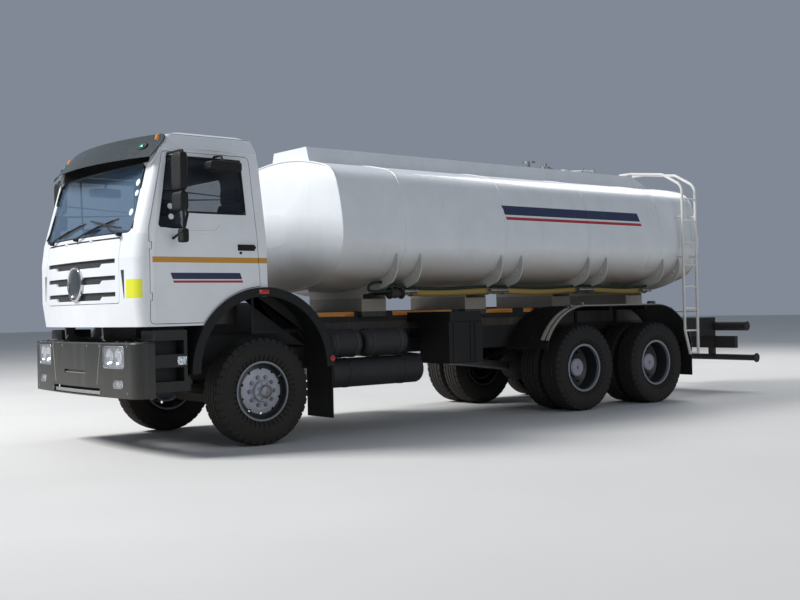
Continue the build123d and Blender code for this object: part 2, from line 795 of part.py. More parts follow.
# Cab shell: walls, floor with an engine tunnel and wheel housings, open at doors, glass and front flap
door_points = [(ahead(x), z) for x, z in door_outline]
window_points = [(ahead(x), z) for x, z in window_outline]
cab_outer = make_cab_block(0)
cab_inner = make_cab_block(cab_wall)
door_prism = make_side_prism(door_points, door_inner_y, door_corner)
door_hole = make_side_prism(door_points, door_inner_y, door_corner, panel_gap)
window_prism = make_side_prism(window_points, door_inner_y, window_corner)

with BuildPart() as housing_solid:
    with BuildSketch(Plane.XZ.offset(-housing_inner_y)):
        with Locations((arch_x, arch_centre_z)):
            Circle(arch_radius + housing_wall)
    extrude(amount=-cab_width / 2)
    mirror(about=Plane.XZ)
    add(cab_outer, mode=Mode.INTERSECT)

with BuildPart() as arch_hole:
    with BuildSketch(Plane.XZ.offset(-housing_inner_y - housing_wall)):
        with Locations((arch_x, arch_centre_z)):
            Circle(arch_radius)
    extrude(amount=-cab_width / 2)
    mirror(about=Plane.XZ)

with BuildPart() as trim_zone:
    with BuildSketch(Plane.XZ.offset(-door_inner_y + 40)):
        with Locations((arch_x, arch_centre_z)):
            Circle(arch_radius + arch_trim_width + panel_gap)
    extrude(amount=-cab_width / 2)

with BuildPart() as screen_prism:
    with BuildSketch(Plane.YZ.offset(ahead(800))) as screen_outline:
        with BuildLine():
            Polyline((-screen_base_half, screen_base_z), (screen_base_half, screen_base_z),
                     (screen_top_half, screen_top_z), (-screen_top_half, screen_top_z), close=True)
        make_face()
        fillet(screen_outline.vertices(), screen_corner)
    extrude(amount=cab_length)

with BuildPart() as screen_fill:
    with BuildSketch(Plane.YZ.offset(ahead(800))):
        add(screen_outline.sketch_local)
        offset(amount=-rest_gap)
    extrude(amount=cab_length)

with BuildPart() as flap_prism:
    with BuildSketch(Plane.YZ.offset(ahead(900))) as flap_outline:
        with Locations((0, (flap_top_z + flap_bottom_z) / 2)):
            RectangleRounded(2 * flap_half, flap_top_z - flap_bottom_z, 40)
    extrude(amount=cab_length)

with BuildPart() as flap_hole:
    with BuildSketch(Plane.YZ.offset(ahead(900))):
        hole_top_z = flap_top_z + flap_top_gap
        hole_bottom_z = flap_bottom_z - panel_gap
        with Locations((0, (hole_top_z + hole_bottom_z) / 2)):
            RectangleRounded(2 * (flap_half + panel_gap), hole_top_z - hole_bottom_z, 44)
    extrude(amount=cab_length)
    add(make_cab_block(flap_thickness + panel_gap), mode=Mode.SUBTRACT)

with BuildPart() as cab_shell:
    add(cab_outer)
    add(cab_inner, mode=Mode.SUBTRACT)
    add(housing_solid.part)
    # Tunnel over the engine, open below and behind
    tunnel_length = ahead(tunnel_front) - cab_back_x
    with Locations((cab_back_x + tunnel_length / 2, 0, (cab_floor_z + tunnel_top_z) / 2)):
        Box(tunnel_length, tunnel_width + 2 * housing_wall, tunnel_top_z - cab_floor_z)
    with Locations((cab_back_x + (tunnel_length - housing_wall) / 2 - 40, 0,
                    (cab_floor_z + tunnel_top_z - housing_wall) / 2 - 20)):
        Box(tunnel_length - housing_wall + 80, tunnel_width, tunnel_top_z - cab_floor_z - housing_wall + 40,
            mode=Mode.SUBTRACT)
    add(arch_hole.part, mode=Mode.SUBTRACT)
    # Door openings stop at the arch trim
    door_void = door_hole - trim_zone.part
    add(door_void, mode=Mode.SUBTRACT)
    add(mirror(door_void, about=Plane.XZ, mode=Mode.PRIVATE), mode=Mode.SUBTRACT)
    add(screen_prism.part, mode=Mode.SUBTRACT)
    add(flap_hole.part, mode=Mode.SUBTRACT)
    with BuildSketch(Plane.YZ.offset(cab_back_x - 50)):
        with Locations((0, rear_window_z)):
            RectangleRounded(2 * rear_window_half, rear_window_height, 60)
    extrude(amount=cab_wall + 200, mode=Mode.SUBTRACT)
    for eye, clear, pin in door_hinges:
        add(eye)
        add(mirror(eye, about=Plane.XZ, mode=Mode.PRIVATE))
    for eye, clear, pin in flap_hinges:
        add(eye)
    # Pivot lugs under the nose, each with its pin inward through the frame's bracket
    for side in (1, -1):
        lug_y = side * (rail_side_y + panel_gap + tilt_lug_width / 2)
        with BuildSketch(Plane.XZ.offset(-lug_y)):
            with BuildLine():
                Polyline((tilt_pivot_x - 70, cab_floor_z + 10), (tilt_pivot_x - 34, tilt_pivot_z - 16),
                         (tilt_pivot_x, tilt_pivot_z - 38), (tilt_pivot_x + 34, tilt_pivot_z - 16),
                         (tilt_pivot_x + 42, cab_floor_z + 10), close=True)
            make_face()
        extrude(amount=tilt_lug_width / 2, both=True)
        pin_length = tilt_lug_width + panel_gap + pivot_bracket_width
        pin_y = side * (rail_side_y - pivot_bracket_width + pin_length / 2)
        with Locations(Location((tilt_pivot_x, pin_y, tilt_pivot_z), (90, 0, 0))):
            Cylinder(tilt_pin_radius, pin_length)
nodes["cab_shell"] = cab_shell

# Doors: the cab's own side form, cut to the door outline and round the arch, with hinge pins
with BuildPart() as door_left:
    add(cab_outer)
    add(make_cab_block(door_thickness), mode=Mode.SUBTRACT)
    add(door_prism, mode=Mode.INTERSECT)
    add(window_prism, mode=Mode.SUBTRACT)
    # No shelf is left inside the door's lower edge
    shelf_y = cab_half - door_thickness - door_shelf_depth / 2
    with Locations((ahead(door_shelf_ahead), shelf_y, door_outline[0][1])):
        Box(cab_width, door_shelf_depth, 2 * door_thickness, mode=Mode.SUBTRACT)
    with BuildSketch(Plane.XZ.offset(-door_inner_y + 40)):
        with Locations((arch_x, arch_centre_z)):
            Circle(arch_radius + arch_trim_width + 2 * panel_gap)
    extrude(amount=-cab_width / 2, mode=Mode.SUBTRACT)
    for eye, clear, pin in door_hinges:
        add(clear, mode=Mode.SUBTRACT)
        add(pin)
nodes["door_left"] = door_left
nodes["door_right"] = make_right(door_left)

with BuildPart() as door_glass_left:
    add(make_cab_block(glass_inset))
    add(make_cab_block(glass_inset + glass_thickness), mode=Mode.SUBTRACT)
    add(make_side_prism(window_points, door_inner_y, window_corner, -rest_gap), mode=Mode.INTERSECT)
nodes["door_glass_left"] = door_glass_left
nodes["door_glass_right"] = make_right(door_glass_left)

with BuildPart() as windscreen:
    add(make_cab_block(glass_inset))
    add(make_cab_block(glass_inset + glass_thickness), mode=Mode.SUBTRACT)
    add(screen_fill.part, mode=Mode.INTERSECT)
nodes["windscreen"] = windscreen

with BuildPart() as rear_window:
    with BuildSketch(Plane.YZ.offset(cab_back_x - 50)):
        with Locations((0, rear_window_z)):
            RectangleRounded(2 * (rear_window_half - rest_gap), rear_window_height - 2 * rest_gap, 60)
    extrude(amount=cab_wall + 200)
    add(make_cab_block(glass_inset), mode=Mode.INTERSECT)
    add(make_cab_block(glass_inset + glass_thickness), mode=Mode.SUBTRACT)
nodes["rear_window"] = rear_window

# Front flap: the nose panel with three tapered grille slots, hung along its top edge
with BuildPart() as nose_boss:
    with BuildSketch(Plane.YZ.offset(ahead(900))):
        with Locations((0, boss_z)):
            Circle(boss_radius)
    extrude(amount=cab_length)
    add(make_cab_block(-boss_reach), mode=Mode.INTERSECT)
    add(make_cab_block(flap_thickness), mode=Mode.SUBTRACT)

with BuildPart() as front_flap:
    add(cab_outer)
    add(make_cab_block(flap_thickness), mode=Mode.SUBTRACT)
    add(flap_prism.part, mode=Mode.INTERSECT)
    for slot_z in slot_zs:
        with BuildSketch(Plane.YZ.offset(ahead(900))):
            with BuildLine():
                step_z = slot_z - slot_end_height
                low_z = slot_z - slot_height
                Polyline((-slot_half, slot_z), (slot_half, slot_z), (slot_half, step_z),
                         (slot_step_half, step_z), (slot_step_half - 40, low_z),
                         (40 - slot_step_half, low_z), (-slot_step_half, step_z),
                         (-slot_half, step_z), close=True)
            make_face()
        extrude(amount=cab_length, mode=Mode.SUBTRACT)
    add(nose_boss.part)
    for eye, clear, pin in flap_hinges:
        add(clear, mode=Mode.SUBTRACT)
        add(pin)
nodes["front_flap"] = front_flap

# Arch trim: a black lip round each front wheel opening, with a liner below the cab floor
with BuildPart() as cab_arch:
    with BuildSketch(Plane.XZ.offset(-cab_half - rest_gap)) as lip:
        with Locations((arch_x, arch_centre_z)):
            Circle(arch_radius + arch_trim_width)
            Circle(arch_radius + rest_gap, mode=Mode.SUBTRACT)
        with BuildLine():
            Polyline((cab_back_x, arch_centre_z), (arch_x + 2 * arch_radius, arch_centre_z),
                     (arch_x + 2 * arch_radius, cab_roof_z), (cab_back_x, cab_roof_z), close=True)
        make_face(mode=Mode.INTERSECT)
    extrude(amount=-arch_trim_reach)
    with BuildSketch(Plane.XZ.offset(-liner_inner_y)):
        with Locations((arch_x, arch_centre_z)):
            Circle(arch_radius + arch_trim_width)
            Circle(arch_radius + rest_gap, mode=Mode.SUBTRACT)
        with BuildLine():
            Polyline((arch_x + arch_radius / 2, arch_centre_z), (arch_x + 2 * arch_radius, arch_centre_z),
                     (arch_x + 2 * arch_radius, cab_floor_z - rest_gap),
                     (arch_x + arch_radius / 2, cab_floor_z - rest_gap), close=True)
        make_face(mode=Mode.INTERSECT)
    extrude(amount=liner_inner_y - cab_half - arch_trim_reach - rest_gap)
    mirror(about=Plane.XZ)
nodes["cab_arches"] = cab_arch

# Sun visor: a bowed sheet over the windscreen, folded along its lower edge
with BuildPart() as sun_visor:
    for level, front in ((visor_low_z, visor_low_front), (visor_top_z, visor_top_front)):
        with BuildSketch(Plane.XY.offset(level)):
            with BuildLine():
                tip_x = ahead(front) - visor_bow
                outer = ThreePointArc((tip_x, -visor_half), (ahead(front), 0), (tip_x, visor_half))
                end = Line(outer @ 1, (tip_x - visor_wall, visor_half))
                inner = ThreePointArc(end @ 1, (ahead(front) - visor_wall, 0),
                                      (tip_x - visor_wall, -visor_half))
                Line(inner @ 1, outer @ 0)
            make_face()
    loft(ruled=True)
    with BuildSketch(Plane.YZ.offset(ahead(visor_top_front) - visor_bow - visor_wall)):
        visor_height = visor_top_z - visor_low_z
        with Locations((0, visor_low_z + visor_height / 2 - visor_end_round)):
            RectangleRounded(2 * visor_half, visor_height + 2 * visor_end_round, visor_end_round)
    extrude(amount=visor_low_front, mode=Mode.INTERSECT)
    stay_share = visor_stay_drop / (visor_top_z - visor_low_z)
    stay_front = visor_top_front + stay_share * (visor_low_front - visor_top_front)
    for y in (-visor_stay_y, 0, visor_stay_y):
        stay_end_x = ahead(stay_front) - visor_bow * (y / visor_half) ** 2 - visor_wall / 2
        with Locations((stay_end_x - visor_stay_length / 2, y, visor_top_z - visor_stay_drop)):
            Box(visor_stay_length, visor_stay_width, 8)
    add(make_cab_block(-rest_gap), mode=Mode.SUBTRACT)
nodes["sun_visor"] = sun_visor

# Seats: one profile a seat, cushion and back, on a pedestal cut to the floor and wheel housing
with BuildPart() as seats:
    with BuildSketch(Plane.XZ.offset(-seat_y)) as seat_side:
        with BuildLine():
            seat_floor_z = cab_floor_z + cab_wall + rest_gap
            Polyline((ahead(140), seat_floor_z), (ahead(560), seat_floor_z),
                     (ahead(580), seat_cushion_z - 130), (ahead(640), seat_cushion_z - 110),
                     (ahead(650), seat_cushion_z),
                     (ahead(250), seat_cushion_z - 30), (ahead(160), seat_back_z),
                     (ahead(70), seat_back_z - 20), (ahead(120), seat_cushion_z - 130), close=True)
        make_face()
        fillet(seat_side.vertices().filter_by(lambda v: v.Z > seat_cushion_z - 120), 24)
    extrude(amount=seat_width / 2, both=True)
    with BuildSketch(Plane.XZ):
        with Locations((arch_x, arch_centre_z)):
            Circle(arch_radius + housing_wall + rest_gap)
    extrude(amount=-cab_width, mode=Mode.SUBTRACT)
    mirror(about=Plane.XZ)
nodes["seats"] = seats

# Dashboard with the steering column and wheel on the right-hand side
with BuildPart() as dashboard:
    with BuildSketch(Plane.XZ) as dash_side:
        with BuildLine():
            Polyline((ahead(1450), dash_top_z), (ahead(1060), dash_top_z - 20),
                     (ahead(1010), dash_top_z - 120),
                     (ahead(1080), dash_top_z - 330), (ahead(1450), dash_top_z - 380), close=True)
        make_face()
    extrude(amount=dash_half, both=True)
    add(make_cab_block(cab_wall + rest_gap), mode=Mode.INTERSECT)
    wheel_plane = Plane(origin=(ahead(steering_wheel_ahead), steering_wheel_y, dash_top_z + 10),
                        z_dir=(-0.5, 0, 0.87))
    with Locations(wheel_plane.location):
        Torus(steering_wheel_radius, 15)
        Cylinder(26, steering_column, align=(Align.CENTER, Align.CENTER, Align.MAX))
        Box(2 * steering_wheel_radius, 34, 16)
    add(make_cab_block(cab_wall + rest_gap), mode=Mode.INTERSECT)
nodes["dashboard"] = dashboard

# Mirrors on tubular arms from each door: a main glass, a wide-angle one below and a kerb mirror
with BuildPart() as mirrors_left:
    for x, y, z, length, depth, height in mirror_heads:
        with Locations((ahead(x), y, z)):
            Box(length, depth, height)
        fillet(mirrors_left.edges(Select.LAST), mirror_corner)
    for points in mirror_arms:
        with BuildLine() as arm:
            FilletPolyline(*[(ahead(x), y, z) for x, y, z in points], radius=mirror_arm_bend)
        with BuildSketch(Plane(origin=arm.line @ 0, z_dir=arm.line % 0)):
            Circle(mirror_arm_radius)
        sweep()
    add(make_cab_block(-rest_gap), mode=Mode.SUBTRACT)
nodes["mirrors_left"] = mirrors_left
nodes["mirrors_right"] = make_right(mirrors_left)

# Bumper: a hollow bowed shell with lamp pockets, a lower slot, step treads and frame brackets
def make_bumper_block(inset):
    """The bumper's outer form, drawn in by inset at the front and sides and open behind."""
    with BuildPart() as block:
        with BuildSketch(Plane.XY.offset(bumper_low_z)):
            add(draw_nose(front_face_x - bumper_depth, front_face_x - inset, bumper_half - inset,
                          bumper_bow, bumper_corner))
        extrude(amount=bumper_top_z - bumper_low_z)
    return block.part


lamp_tables = ((headlamp_y, headlamp_z, headlamp_width, headlamp_height, 34),
               (fog_lamp_y, fog_lamp_z, fog_lamp_width, fog_lamp_height, 12))


def make_lamp_prism(gap):
    """All four lamp outlines as prisms through the bumper's front."""
    with BuildPart() as prism:
        with BuildSketch(Plane.YZ.offset(front_face_x - bumper_depth + 20)):
            for y, z, width, height, corner in lamp_tables:
                with Locations((y, z), (-y, z)):
                    RectangleRounded(width - 2 * gap, height - 2 * gap, corner)
        extrude(amount=bumper_depth)
    return prism.part


with BuildPart() as bumper_void:
    add(make_bumper_block(bumper_wall))
    with Locations((front_face_x - bumper_depth, 0, (bumper_low_z + bumper_top_z - bumper_wall) / 2)):
        Box(100, 2 * (bumper_half - bumper_wall), bumper_top_z - bumper_low_z - bumper_wall)
    deck_width = bumper_half - bumper_deck_y
    for side in (1, -1):
        with Locations((front_face_x, side * (bumper_deck_y + deck_width / 2), bumper_top_z)):
            Box(3 * bumper_depth, deck_width, 2 * bumper_wall, mode=Mode.SUBTRACT)

with BuildPart() as bumper:
    add(make_bumper_block(0))
    fillet(bumper.faces().sort_by(Axis.Z)[-1].outer_wire().edges().sort_by(Axis.X)[1:], bumper_edge)
    add(bumper_void.part, mode=Mode.SUBTRACT)
    add(make_lamp_prism(0), mode=Mode.SUBTRACT)
    with Locations((front_face_x, 0, bumper_low_z + 45)):
        Box(2 * bumper_wall + 60, 2 * bumper_slot_half, bumper_slot_height, mode=Mode.SUBTRACT)
    with Locations((front_face_x, 0, headlamp_z - 150)):
        Box(50, 2 * plate_half, 36, mode=Mode.SUBTRACT)
    for side in (1, -1):
        bracket_end_x = front_face_x - bumper_wall + bumper_bracket_bite
        with Locations(((frame_front_x + bracket_end_x) / 2, side * bumper_bracket_y, bumper_top_z - 200)):
            Box(bracket_end_x - frame_front_x, 70, 90)
nodes["bumper"] = bumper

with BuildPart() as front_lamps:
    add(make_bumper_block(3))
    add(make_bumper_block(bumper_wall - 4), mode=Mode.SUBTRACT)
    add(make_lamp_prism(rest_gap), mode=Mode.INTERSECT)
nodes["front_lamps"] = front_lamps

# Step boxes behind the bumper's ends, two treads each side, bracketed to the rails
with BuildPart() as cab_steps:
    with BuildSketch(Plane.XZ.offset(-step_inner_y)) as step_side:
        with BuildLine():
            step_front_x = front_face_x - bumper_depth - panel_gap
            Polyline((ahead(step_rear), step_low_z), (step_front_x, step_low_z), (step_front_x, step_top_z),
                     (ahead(step_rear) + 30, step_top_z), (ahead(step_rear) + 30, arch_centre_z - 20),
                     (ahead(step_rear), arch_centre_z - 20), close=True)
        make_face()
        fillet(step_side.vertices(), 12)
    extrude(amount=-(step_outer_y - step_inner_y))
    for tread_z in step_treads:
        with Locations((ahead(step_rear) + 215, step_outer_y, tread_z)):
            Box(step_opening, 2 * step_recess, step_opening_height, mode=Mode.SUBTRACT)
    step_middle_x = (ahead(step_rear) + front_face_x - bumper_depth) / 2
    with Locations((step_middle_x, (rail_side_y + step_inner_y) / 2, step_top_z - 110)):
        Box(70, step_inner_y - rail_side_y, 60)
    mirror(about=Plane.XZ)
nodes["cab_steps"] = cab_steps

# Front mudguards: the frame's half of each arch behind the cab, with a hanging flap
guard_outer = arch_radius + arch_trim_width
with BuildPart() as front_mudguards:
    with BuildSketch(Plane.XZ.offset(-guard_inner_y)):
        with Locations((arch_x, arch_centre_z)):
            Circle(guard_outer)
            Circle(guard_outer - guard_wall, mode=Mode.SUBTRACT)
        with BuildLine():
            guard_front_x = cab_back_x - panel_gap
            guard_back_x = arch_x - 2 * arch_radius
            Polyline((guard_back_x, arch_centre_z), (guard_front_x, arch_centre_z),
                     (guard_front_x, cab_roof_z), (guard_back_x, cab_roof_z), close=True)
        make_face(mode=Mode.INTERSECT)
    extrude(amount=guard_inner_y - cab_half - arch_trim_reach)
    with BuildSketch(Plane.XZ.offset(-cab_half)):
        with Locations((arch_x, arch_centre_z)):
            Circle(guard_outer)
            Circle(arch_radius, mode=Mode.SUBTRACT)
        with BuildLine():
            guard_front_x = cab_back_x - panel_gap
            guard_back_x = arch_x - 2 * arch_radius
            Polyline((guard_back_x, arch_centre_z), (guard_front_x, arch_centre_z),
                     (guard_front_x, cab_roof_z), (guard_back_x, cab_roof_z), close=True)
        make_face(mode=Mode.INTERSECT)
    extrude(amount=-arch_trim_reach)
    flap_height = arch_centre_z + 20 - front_flap_low_z
    flap_x = arch_x - guard_outer + guard_wall / 2
    with Locations((flap_x, (guard_inner_y + cab_half) / 2, front_flap_low_z + flap_height / 2)):
        Box(guard_wall, cab_half - guard_inner_y, flap_height)
    bar_back = ((guard_outer - guard_wall / 2) ** 2 - (guard_bar_z - arch_centre_z) ** 2) ** 0.5
    bar_end_y = guard_inner_y + 20
    with Locations(Location((arch_x - bar_back, (rail_side_y + bar_end_y) / 2, guard_bar_z), (90, 0, 0))):
        Cylinder(guard_bar_radius, bar_end_y - rail_side_y)
    mirror(about=Plane.XZ)
nodes["front_mudguards"] = front_mudguards

# Rear mudguards: one long guard a side over both axles, ribbed in front, with flaps behind
guard_top_z = tyre_radius + rear_guard_radius
def make_guard_band(radius, wall, start_y, end_y):
    """A band over both rear wheels at this radius, from one Y to another, with a flap hanging behind."""
    with BuildPart() as band:
        with BuildSketch(Plane.XZ.offset(-start_y)):
            with BuildLine():
                low_angle = rear_guard_low_angle
                front_arc = CenterArc((rear_axle_1_x, tyre_radius), radius, low_angle, 90 - low_angle)
                back_arc = CenterArc((rear_axle_2_x, tyre_radius), radius, 90, 90 - low_angle)
                Line(front_arc @ 1, back_arc @ 0)
                flap_x = rear_axle_2_x - radius * cos(radians(low_angle))
                Line(back_arc @ 1, (flap_x, rear_flap_low_z))
            trace(line_width=wall)
        extrude(amount=start_y - end_y)
    return band.part


with BuildPart() as rear_mudguards:
    add(make_guard_band(rear_guard_radius, guard_wall, rear_guard_inner_y, rear_guard_outer_y))
    rib_radius = rear_guard_radius + guard_wall / 2 + 2
    for rib_y in rear_rib_ys:
        rib_start = rib_y - rear_rib_width / 2
        add(make_guard_band(rib_radius, rear_rib_wall, rib_start, rib_start + rear_rib_width))
    for stay_x in (rear_axle_1_x + guard_stay_step, bogie_x, rear_axle_2_x - guard_stay_step):
        with BuildSketch(Plane.YZ.offset(stay_x - guard_stay_width / 2)):
            with BuildLine():
                stay_y = rail_side_y + rest_gap
                Polyline((stay_y, frame_top_z - 30), (stay_y + guard_wall, frame_top_z - 30),
                         (stay_y + guard_wall, guard_top_z - guard_wall - 4),
                         (rear_guard_inner_y + 20, guard_top_z - guard_wall - 4),
                         (rear_guard_inner_y + 20, guard_top_z - 4), (stay_y, guard_top_z - 4), close=True)
            make_face()
        extrude(amount=guard_stay_width)
    guard_bar_end_y = rear_guard_outer_y - 200
    for x in (rear_axle_1_x, bogie_x, rear_axle_2_x):
        with Locations((x, (rail_side_y + guard_bar_end_y) / 2, guard_top_z - guard_wall / 2 - 25)):
            Box(44, guard_bar_end_y - rail_side_y, 50)
    mirror(about=Plane.XZ)
nodes["rear_mudguards"] = rear_mudguards

# Air tanks: two domed cylinders end to end on brackets from the left rail
with BuildPart() as air_tanks:
    for front, rear in air_tank_spans:
        with Locations(Location((ahead((front + rear) / 2), side_tank_y, air_tank_z), (0, 90, 0))):
            Cylinder(air_tank_radius, front - rear)
        fillet(air_tanks.edges(Select.LAST).filter_by(GeomType.CIRCLE), air_tank_dome)
        for step in (front - 130, rear + 130):
            with Locations((ahead(step), (rail_side_y + side_tank_y) / 2, air_tank_z)):
                Box(40, side_tank_y - rail_side_y, 60)
nodes["air_tanks"] = air_tanks

# Silencer: a long drum low on the left side, hung on two brackets with its outlet inboard
with BuildPart() as silencer:
    silencer_x = ahead((silencer_front + silencer_rear) / 2)
    with Locations(Location((silencer_x, side_tank_y, silencer_z), (0, 90, 0))):
        Cylinder(silencer_radius, silencer_front - silencer_rear)
    fillet(silencer.edges().filter_by(GeomType.CIRCLE), 40)
    for step in (silencer_front - 250, silencer_rear + 250):
        with BuildSketch(Plane.YZ.offset(ahead(step) - 20)):
            with BuildLine():
                Polyline((rail_side_y, frame_bottom_z + 60), (rail_side_y, frame_bottom_z + 10),
                         (side_tank_y - silencer_radius + 30, silencer_z - 20),
                         (side_tank_y - silencer_radius + 60, silencer_z + 60), close=True)
            make_face()
        extrude(amount=40)
nodes["silencer"] = silencer

# Battery box on the left rail: a ribbed cover over a tray, under a mounting plate
with BuildPart() as battery_box:
    box_length = battery_front - battery_rear
    box_middle = ahead((battery_front + battery_rear) / 2)
    battery_y = (battery_inner_y + battery_outer_y) / 2
    with Locations((box_middle, battery_y, (battery_low_z + battery_top_z) / 2)):
        Box(box_length, battery_outer_y - battery_inner_y, battery_top_z - battery_low_z)
    fillet(battery_box.edges().filter_by(Axis.X), 22)
    for step in battery_rib_steps:
        with Locations((ahead(battery_front) - step, battery_outer_y, (battery_low_z + battery_top_z) / 2)):
            Box(16, 12, battery_top_z - battery_low_z - 50)
    for step in (battery_front - 80, battery_rear + 80):
        with Locations((ahead(step), (rail_side_y + battery_inner_y) / 2, frame_top_z - 80)):
            Box(50, battery_inner_y - rail_side_y, 60)
    with Locations((box_middle, (rail_side_y + battery_outer_y) / 2, battery_top_z + 50)):
        Box(box_length - 40, battery_outer_y - rail_side_y, 110)
nodes["battery_box"] = battery_box

# Fuel tank on the right rail: a rounded aluminium box on two brackets
with BuildPart() as fuel_tank:
    with BuildSketch(Plane.YZ.offset(ahead(fuel_tank_rear))):
        fuel_tank_y = -(fuel_tank_inner_y + fuel_tank_outer_y) / 2
        with Locations((fuel_tank_y, (fuel_tank_low_z + fuel_tank_top_z) / 2)):
            RectangleRounded(fuel_tank_outer_y - fuel_tank_inner_y, fuel_tank_top_z - fuel_tank_low_z, 90)
    extrude(amount=fuel_tank_front - fuel_tank_rear)
    for step in (fuel_tank_front - 220, fuel_tank_rear + 220):
        with Locations((ahead(step), -(rail_side_y + fuel_tank_inner_y) / 2, frame_bottom_z + 80)):
            Box(60, fuel_tank_inner_y - rail_side_y, 140)
    with Locations((ahead(fuel_tank_front) - 180, fuel_tank_y, fuel_tank_top_z + 16)):
        Cylinder(52, 36)
nodes["fuel_tank"] = fuel_tank

# Tank: a rounded section of tangent arcs, run straight and drawn in to a dished head at each end
def draw_tank_section(spread=0.0, shrink=1.0):
    """Closed tank section, grown by spread or shrunk about the middle of its widest level."""
    middle = Vector(0, tank_widest_z)

    def at(y, z):
        return middle + (Vector(y, z) - middle) * shrink

    with BuildSketch() as section:
        with BuildLine():
            crown = ThreePointArc(at(-tank_crown_half, tank_crown_z), at(0, tank_top_z),
                                  at(tank_crown_half, tank_crown_z))
            shoulder = TangentArc(crown @ 1, at(tank_half_width - tank_shoulder_inset, tank_shoulder_z),
                                  tangent=crown % 1)
            flank = TangentArc(shoulder @ 1, at(tank_half_width, tank_widest_z), tangent=shoulder % 1)
            corner = TangentArc(flank @ 1, at(tank_half_width - tank_corner_inset, tank_corner_z),
                                tangent=flank % 1)
            lower = TangentArc(corner @ 1, at(tank_half_width - tank_belly_inset, tank_belly_z),
                               tangent=corner % 1)
            slope = lower % 1
            belly_z = (lower @ 1).Y - (lower @ 1).X * tan(atan2(-slope.Y, -slope.X) / 2)
            belly = TangentArc(lower @ 1, (0, belly_z), tangent=slope)
            mirror(shoulder, about=Plane.YZ)
            mirror(flank, about=Plane.YZ)
            mirror(corner, about=Plane.YZ)
            mirror(lower, about=Plane.YZ)
            mirror(belly, about=Plane.YZ)
        make_face()
        if spread:
            offset(amount=spread)
    return section.sketch


with BuildPart() as tank_shell:
    with BuildSketch(Plane.YZ.offset(tank_rear_x)):
        add(draw_tank_section())
    extrude(amount=tank_front_x - tank_rear_x)
    for end_x, way in ((tank_front_x, 1), (tank_rear_x, -1)):
        for depth, shrink in head_steps:
            with BuildSketch(Plane.YZ.offset(end_x + way * depth)):
                add(draw_tank_section(0, shrink))
        loft()
nodes["tank_shell"] = tank_shell

with BuildPart() as tank_clear:
    with BuildSketch(Plane.YZ.offset(tank_rear_x - 400)):
        add(draw_tank_section(rest_gap))
    extrude(amount=tank_front_x - tank_rear_x + 800)

# Coaming: a trapezoid box along the tank's top, sloped off behind, with the manhole neck
lid_low_z = coaming_top_z + manhole_neck + rest_gap
lid_arm_height = manhole_lid_wall + lid_arm_rise
lid_hinge_x = ahead(-manhole_back) + manhole_radius + lid_hinge_reach
lid_hinge_z = lid_low_z + lid_arm_height / 2
lid_arm_length = 3 * lid_hinge_reach
with BuildPart() as tank_coaming:
    with BuildSketch(Plane.YZ.offset(coaming_rear_x - coaming_rear_slope)):
        with BuildLine():
            Polyline((-coaming_base_half, tank_crown_z - 40), (coaming_base_half, tank_crown_z - 40),
                     (coaming_half, coaming_top_z), (-coaming_half, coaming_top_z), close=True)
        make_face()
    extrude(amount=coaming_front_x - coaming_rear_x + coaming_rear_slope)
    with BuildSketch(Plane.XZ):
        with BuildLine():
            cut_rear_x = coaming_rear_x - coaming_rear_slope - 1
            Polyline((coaming_rear_x, coaming_top_z + 1), (cut_rear_x, coaming_top_z + 1),
                     (cut_rear_x, tank_top_z + 4), close=True)
        make_face()
    extrude(amount=coaming_base_half, both=True, mode=Mode.SUBTRACT)
    with Locations((ahead(-manhole_back), 0, coaming_top_z + manhole_neck / 2)):
        Cylinder(manhole_radius - 20, manhole_neck)
    add(tank_clear.part, mode=Mode.SUBTRACT)
    # Two ears with the pin that the lid turns on
    for side in (1, -1):
        ear_y = side * (lid_arm_half + panel_gap + lid_ear_width / 2)
        with BuildSketch(Plane.XZ.offset(-ear_y)):
            with Locations((lid_hinge_x, (coaming_top_z + lid_hinge_z) / 2)):
                Rectangle(2 * lid_ear_half, lid_hinge_z - coaming_top_z)
            with Locations((lid_hinge_x, lid_hinge_z)):
                Circle(lid_ear_half)
        extrude(amount=lid_ear_width / 2, both=True)
    with Locations(Location((lid_hinge_x, 0, lid_hinge_z), (90, 0, 0))):
        Cylinder(lid_pin_radius, 2 * (lid_arm_half + panel_gap + lid_ear_width))
nodes["tank_coaming"] = tank_coaming

with BuildPart() as manhole_lid:
    with Locations((ahead(-manhole_back), 0, lid_low_z + manhole_lid_wall / 2)):
        Cylinder(manhole_radius, manhole_lid_wall)
    fillet(manhole_lid.edges().sort_by(Axis.Z)[-1], 8)
    with Locations((lid_hinge_x - lid_arm_length / 2, 0, lid_hinge_z)):
        Box(lid_arm_length, 2 * lid_arm_half, lid_arm_height)
    with Locations(Location((lid_hinge_x, 0, lid_hinge_z), (90, 0, 0))):
        Cylinder(lid_arm_height / 2, 2 * lid_arm_half)
        Cylinder(lid_pin_radius + running_clearance, 2 * lid_arm_half, mode=Mode.SUBTRACT)
nodes["manhole_lid"] = manhole_lid

# Top fittings: a vent on its stem and a flanged filling branch with an upright
with BuildPart() as tank_fittings:
    with Locations((ahead(-vent_back), 0, coaming_top_z + rest_gap + 55)):
        Cylinder(18, 110)
    with Locations((ahead(-vent_back), 0, coaming_top_z + rest_gap + 118)):
        Cylinder(85, 26)
    with Locations((ahead(-branch_back), 0, coaming_top_z + rest_gap + 40)):
        Cylinder(70, 80)
        Cylinder(110, 22)
    with Locations((ahead(-branch_back), 0, coaming_top_z + rest_gap + 95)):
        Cylinder(24, 70)
nodes["tank_fittings"] = tank_fittings

